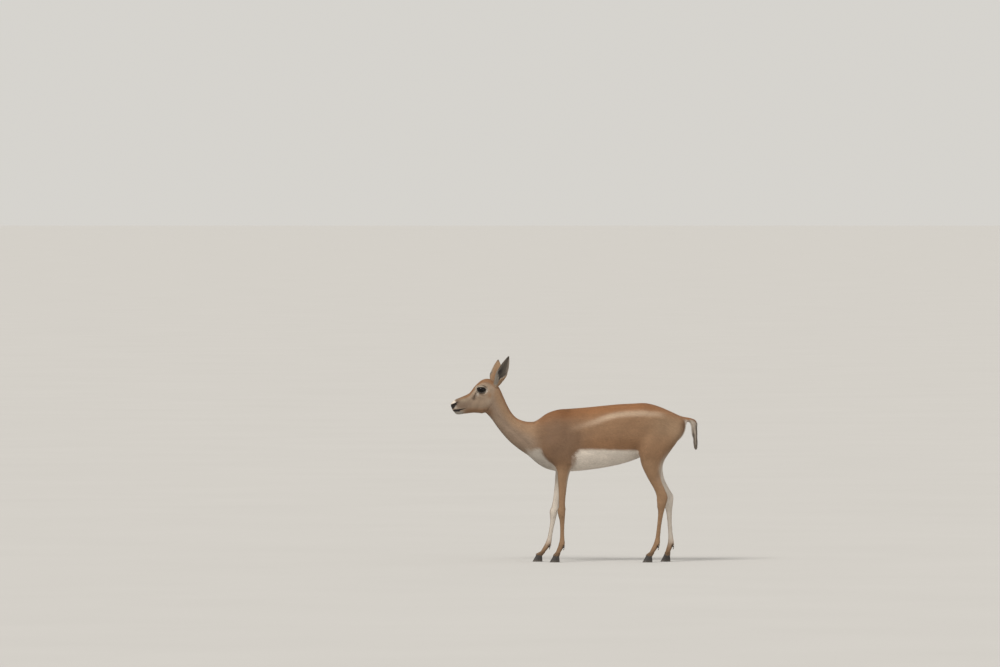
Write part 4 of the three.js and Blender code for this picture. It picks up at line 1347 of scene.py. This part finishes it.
def build_ear(side):
    name = f"ear_{SIDES[side]}"
    u, v, rings = ear_rings(side)
    verts, faces = solid(rings)
    verts = ear_place(verts, side)
    piece = new_object(f"{name}_skin", verts, faces)
    m = 2 * EAR_COLUMNS
    uu = np.concatenate([np.repeat(u, m), [0, 1]])
    vv = np.concatenate([np.tile(np.concatenate([v, v[::-1]]), EAR_RINGS), [0.5, 0.5]])
    inside = np.concatenate([np.tile(np.repeat([0.0, 1.0], EAR_COLUMNS), EAR_RINGS), [0, 1]])
    back, cup = ear_colours(uu, vv, side)
    paint = mix(back, cup, inside[:, None]) * (1 + 0.06 * waver(verts, 16, 31))[:, None]
    store_colour(piece.data, "coat", paint)
    masks = [inside * 0.25, np.ones(len(verts)), np.zeros(len(verts))]
    store_colour(piece.data, "masks", np.stack(masks, -1))
    place = np.stack([0.04 + 0.92 * (vv * 0.5 + 0.5 * inside), 0.04 + 0.92 * uu], -1)
    store_uv(piece.data, place[read(piece.data.loops, "vertex_index", 1, np.int32)])
    dress(piece, skin.data.materials[0], [name])

    # short hair outside, long pale hair inside the rim
    grid, flat, tint = (values[:-2].reshape(EAR_RINGS, m, -1) for values in (verts, place, paint))
    up = unit(np.gradient(grid, axis=0))
    facing = unit(np.cross(up, np.roll(grid, -1, axis=1) - np.roll(grid, 1, axis=1)))
    middle = grid.mean(axis=1, keepdims=True)
    facing *= np.sign(((grid - middle) * facing).sum(axis=-1).mean())
    draw = np.random.default_rng(40 + side)

    def pick(count, rings, columns):
        i = draw.integers(*rings, count)
        j = draw.choice(columns, count)
        i2, j2 = np.minimum(i + 1, EAR_RINGS - 1), (j + 1) % m
        s, q = draw.uniform(0, 1, (2, count, 1))
        spot = mix(mix(grid[i, j], grid[i2, j], s), mix(grid[i, j2], grid[i2, j2], s), q)
        return i, j, spot, facing[i, j], up[i, j]

    def grow(kind, count, rings, columns, stray, sizes, form, shade=(0.09,), off=0.0, taper=0.0):
        i, j, spot, face, rise = pick(count, rings, columns)
        lean = rise + draw.normal(size=spot.shape) * stray
        size = draw.uniform(*sizes, count) * (1 - taper * step(0.72, 1.0, i / EAR_RINGS))
        own = tint[i, j] * shades(draw, count, *shade)
        fur(f"{name}_{kind}", spot + face * off, face, lean, size, *form, own, flat[i, j])

    outside = np.arange(1, EAR_COLUMNS - 1)
    grow("fur", EAR_FUR, (6, EAR_RINGS - 4), outside, 0.12, (4.0, 6.5), (1.0, 0.35), taper=0.65)
    grow("foot", EAR_FOOT_FUR, (8, 15), outside, 0.1, (8, 11.5), (1.2, 0.5), off=1.1)
    rim = np.concatenate([np.arange(EAR_COLUMNS + 1, EAR_COLUMNS + 13), np.arange(m - 13, m - 1)])
    i, j, spot, face, rise = pick(LINING_HAIRS, (int(EAR_RINGS * 0.24), int(EAR_RINGS * 0.93)), rim)
    lean = rise * 0.95 + unit(middle[i, 0] - spot) * 0.42 + draw.normal(size=spot.shape) * 0.12
    pale = mix(tint[i, j], LINING, 0.35) * shades(draw, len(spot), 0.14, 0.6, 1.35)
    size = draw.uniform(7, 15, len(spot)) * step(0.98, 0.7, i / EAR_RINGS) + 4
    fur(f"{name}_lining", spot, face, lean, size, 0.8, 1.4, pale, flat[i, j])
    down_rings = (int(EAR_RINGS * 0.25), int(EAR_RINGS * 0.9))
    down_columns = np.arange(EAR_COLUMNS + 8, m - 8)
    grow("down", CUP_DOWN, down_rings, down_columns, 0.15, (4, 7), (0.8, 0.4), shade=(0.2, 0.6, 1.6, 1.1))


for side in SIDES:
    build_ear(side)

# Build: eyes

LASHES = 54


def build_eye(side):
    centre = np.array([EYE["x"], side * EYE["y"], EYE["z"]])
    lat = np.linspace(0.02, np.pi - 0.02, 56)
    ring = sphere(lat, full_turn(72))[..., [0, 2, 1]] * [1, side, 1]
    cornea = 0.9 * bell(np.degrees(lat), 30)[:, None, None]
    verts, faces = solid(centre + ring * (EYE["radius"] - 0.4 + cornea))
    faces = faces if side > 0 else [f[::-1] for f in faces]
    piece = new_object(f"eye_{SIDES[side]}_ball", verts, faces)
    place = ((centre + SHIFT) / 1000).tolist()
    dress(piece, eye_material(place, side), [f"eye_{SIDES[side]}"])


def build_lashes(side):
    draw = np.random.default_rng(60 + side)
    count = LASHES
    u = np.linspace(-0.86, 0.93, count)
    upper = ALMOND[: len(ALMOND) // 2]
    edge = np.interp(u * EYE["open"], *upper.T) + 0.8
    depth = np.sqrt(EYE["radius"] ** 2 - (u * EYE["open"]) ** 2 - edge**2)
    root = np.stack([EYE["x"] + u * EYE["open"], side * (EYE["y"] + depth + 1.2), EYE["z"] + edge], -1)
    fan = np.stack([0.75 * u - 0.1, np.full(count, side * 1.0), np.full(count, -0.45)], -1)
    fan += draw.normal(size=(count, 3)) * 0.07
    up = np.tile([0.0, 0, 1], (count, 1))
    size = draw.uniform(4.5, 6.5, count) * (1 - 0.4 * np.abs(u) ** 3)
    tint = np.tile([0.020, 0.014, 0.012], (count, 1))
    place = np.stack([0.1 + 0.4 * (u + 1), np.full(count, 0.5)], -1)
    fur(f"lashes_{SIDES[side]}", root, up, fan, size, 0.55, 1.6, tint, place)


for side in SIDES:
    build_eye(side)
    build_lashes(side)

# Build: hooves and dewclaws

horn = horn_material()


def claw_stations(kind, side, inner):
    fx, fy = foot_place(kind, side)
    y = fy + side * (-1 if inner else 1) * HOOF["spread"]
    height, half, toe = HOOF["height"], HOOF["half"], HOOF["length"] - 13

    def row(front, top, back, bottom, width):
        return (fx - front, top, fx + back, bottom, width, 0.42, 1.7, 2.2, y)

    return [
        row(12.6, crown(-12.6) + 0.6, 9.6, crown(9.6) + 0.6, half - 2.2),
        row(16.5, crown(-14.5) - 4.5, 11.6, crown(11) - 3.5, half - 0.7),
        row(21, height * 0.72, 12.5, height * 0.5, half - 0.2),
        row(28, height * 0.36, 13, height * 0.22, half),
        row(toe, 0, 13, 0, half + 0.2),
    ]


def dewclaw_stations(kind, side, inner):
    turn = side * (-1 if inner else 1)
    fetlock = leg_levels(kind)[fetlock_level(kind)]
    x = fetlock[4] + stride(kind, side, DEWCLAW["height"]) + DEWCLAW["behind"]
    y = side * fetlock[5] + turn * DEWCLAW["spread"]
    r, tall, z = DEWCLAW["radius"], DEWCLAW["length"], DEWCLAW["height"]
    return [
        (x - 7, z + 6, x - 3, z - 1, r * 0.8, 0.5, 2, 2, y - turn * 3),
        (x + 1, z + 5, x + 2, z - 4, r, 0.5, 2, 2, y),
        (x + 3, z - 0.5, x - 1, z - 7.5, r * 0.95, 0.5, 2, 2, y + turn),
        (x + 0.5, z - tall + 1.5, x - 3.5, z - tall, r * 0.55, 0.5, 2, 2, y + turn),
    ]


for kind, side in LEGS:
    for inner, where in ((False, "outer"), (True, "inner")):
        for part, stations in (("hoof", claw_stations), ("dewclaw", dewclaw_stations)):
            rows = stations(kind, side, inner)
            claw = solid(surface(rows, np.linspace(0, len(rows) - 1, 34), full_turn(48), -0.05))
            node = f"{kind}_{part}_{SIDES[side]}_{where}"
            dress(new_object(f"{node}_horn", *claw), horn, [node])

# Build: hair that hangs over the top of each hoof

HOOF_HAIRS, FRINGE_HAIRS = 760, 200


def build_coronets():
    """Hairs over the top of each hoof, and a short fringe behind each fetlock."""
    draw = np.random.default_rng(88)
    spots, ways, outs = [], [], []
    for kind, side in LEGS:
        rows = leg_stations(kind, side)
        t = len(rows) - 1 - draw.uniform(0.02, 0.9, HOOF_HAIRS)
        turn = draw.uniform(0, 2 * np.pi, (HOOF_HAIRS, 1))
        spot = surface(rows, t, turn, -1.2)[:, 0]
        way = unit(surface(rows, t + 0.02, turn, -1.2)[:, 0] - spot)
        out = square_to(spot - core_line(rows, t), way)
        t = fetlock_level(kind) + draw.uniform(0.05, 0.8, FRINGE_HAIRS)
        turn = np.pi + draw.uniform(-1.2, 1.2, (FRINGE_HAIRS, 1))
        spots += [spot, surface(rows, t, turn, -1.2)[:, 0]]
        ways += [way, np.tile([0.12, 0.0, -1.0], (FRINGE_HAIRS, 1))]
        outs += [out, np.tile([1.0, 0.0, 0.12], (FRINGE_HAIRS, 1))]
    spot, way, out = np.vstack(spots), np.vstack(ways), np.vstack(outs)
    face = [skin_tree.find_nearest(place)[2] for place in spot.tolist()]
    tint = colour[quads[face]].mean(axis=1) * shades(draw, len(spot), 0.09)
    lean = way + draw.normal(size=spot.shape) * 0.07
    size = draw.uniform(6.5, 9.5, len(spot))
    fur("coronet", spot, out, lean, size, 1.0, 1.3, tint, uv[face].mean(axis=1))


build_coronets()

# Build: tail hair

TAIL_STRIPE = [(549, 690), (554, 672), (561, 643), (568, 610), (573, 580)]
TAIL_PALE = np.array([0.40, 0.34, 0.28])
TAIL_HAIRS = 4200
TAIL_FROM, TAIL_TO = 1.1, 6.7  # places along TAIL
ON_SKIN_TO, HANG_FROM, HANG_ALL = 5.4, 4.2, 6.0
TAIL_END = 536  # the level of the lowest hair tips


def build_tail_hair():
    draw, count = np.random.default_rng(77), TAIL_HAIRS
    t = TAIL_FROM + (TAIL_TO - TAIL_FROM) * draw.uniform(0, 1, count) ** 0.85
    turn = draw.uniform(0, 2 * np.pi, count)

    def skin_at(shift_t, shift_turn):
        places = np.minimum(t + shift_t, len(TAIL) - 1)
        return surface(TAIL, places, (turn + shift_turn)[:, None], -3)[:, 0]

    spot = skin_at(0, 0)
    ahead = skin_at(0.3, 0)
    facing = unit(np.cross(ahead - spot, skin_at(0, 0.1) - spot))
    facing *= np.sign(((spot - core_line(TAIL, t)) * facing).sum(axis=1, keepdims=True))
    on_tail = t < ON_SKIN_TO
    spot[on_tail], facing[on_tail] = on_skin(spot[on_tail])
    # towards the tip the hairs leave the skin and hang
    hang = np.array([0.06, 0, -1.0])
    hanging = 0.95 * step(HANG_FROM, HANG_ALL, t)[:, None]
    level = facing - hang * (facing @ hang)[:, None] / (hang @ hang)
    facing = unit(mix(facing, unit(level), hanging))
    low = step(2.6, 6.2, t)
    free = step(1.3, 3.4, t)
    stand = facing * (draw.uniform(0.02, 0.12, count) * free)[:, None]
    lean = mix(unit(ahead - spot), hang, hanging) + stand + draw.normal(size=spot.shape) * 0.05
    size = mix(24, 42, low) * draw.uniform(0.7, 1.15, count) * step(0.2, 2.8, t)
    size = np.minimum(size, np.maximum(spot[:, 2] - TAIL_END, 14))
    behind = step(0.1, 0.8, facing[:, 0] + 0.35 * facing[:, 2])
    stripe = bell(line_distance(spot[:, [0, 2]], TAIL_STRIPE)[0], 7.5)
    layers = [
        (TAIL_PALE, step(2.2, 3.4, t + 1.6 * (1 - behind))),
        (BRIDGE * 0.45, behind * step(2.7, 3.6, t) * 0.8),
        (BRIDGE * mix(0.8, 0.2, step(650, 625, spot[:, 2]))[:, None], stripe * step(2.6, 3.4, t) * 0.95),
        (WHITE * 0.85, step(-0.45, -0.85, facing[:, 0]) * 0.9),
    ]
    tint = paint_over(BACK * 0.95, layers) * shades(draw, count, 0.10, 0.7, 1.3)
    place = np.stack([0.05 + 0.9 * turn / (2 * np.pi), 0.05 + 0.9 * (t - TAIL_FROM) / 5.0], -1)
    width = mix(1.4, 2.1, low)
    lift = mix(0.4, 1.5, np.maximum(low, 0.6 * free)) * step(8, 5.5, t)
    hair = (spot, facing, lean, size, width, lift, tint, place)
    made = tuft_pieces("tail_hair", *hair, "tail_hair", tuft_material("tail_hair", 0.6), curl=0.9)
    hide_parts("tail")


build_tail_hair()

# Floor, light and camera


def floor_material():
    t = Tree("pale_floor")
    patches = t.spread(t.noise(0.8, 5, 0.6), 0, 1)
    colour = t.mix_colour(patches, (0.500, 0.490, 0.475, 1), (0.515, 0.505, 0.490, 1))
    return t.set(colour=colour, rough=1.0, specular=0.0)


FLOOR_REACH = 400000.0
floor_corners = FLOOR_REACH * np.array([[-1, -1, 0], [1, -1, 0], [1, 1, 0], [-1, 1, 0]])
floor = new_object("floor", floor_corners, [[0, 1, 2, 3]], smooth=False)
floor.data.materials.append(floor_material())

world = bpy.data.worlds.new("pale_world")
bpy.context.scene.world = world
world.use_nodes = True
background = world.node_tree.nodes["Background"]
background.inputs["Color"].default_value = (0.672, 0.655, 0.618, 1)
background.inputs["Strength"].default_value = 1.0


def add_sun(name, strength, angle, direction, colour):
    data = bpy.data.lights.new(name, "SUN")
    data.energy = strength
    data.angle = np.radians(angle)
    data.color = colour
    lamp = add_object(name, data)
    lamp.rotation_euler = Vector(direction).to_track_quat("-Z", "Y").to_euler()


add_sun("key_light", 2.35, 22, (0.45, 0.72, -0.95), (1.0, 0.965, 0.91))
add_sun("fill_light", 0.5, 60, (-0.8, 0.5, -0.5), (0.93, 0.96, 1.0))

scene = bpy.context.scene
scene.view_settings.view_transform = "Standard"

# The photo's angle and framing: the camera's place in the animal's own frame, and its drop in degrees
CAMERA_PLACE = np.array([-360.0, -53300.0, 1830.0])
CAMERA_DROP = 0.788
LENS = 399.75
camera_data = bpy.data.cameras.new("camera")
camera_data.sensor_width = 36
camera_data.lens = LENS
camera_data.clip_end = 2000
camera = add_object("camera", camera_data)
camera.location = ((CAMERA_PLACE + SHIFT) / 1000).tolist()
camera.rotation_euler = (np.radians(90 - CAMERA_DROP), 0, 0)
scene.camera = camera
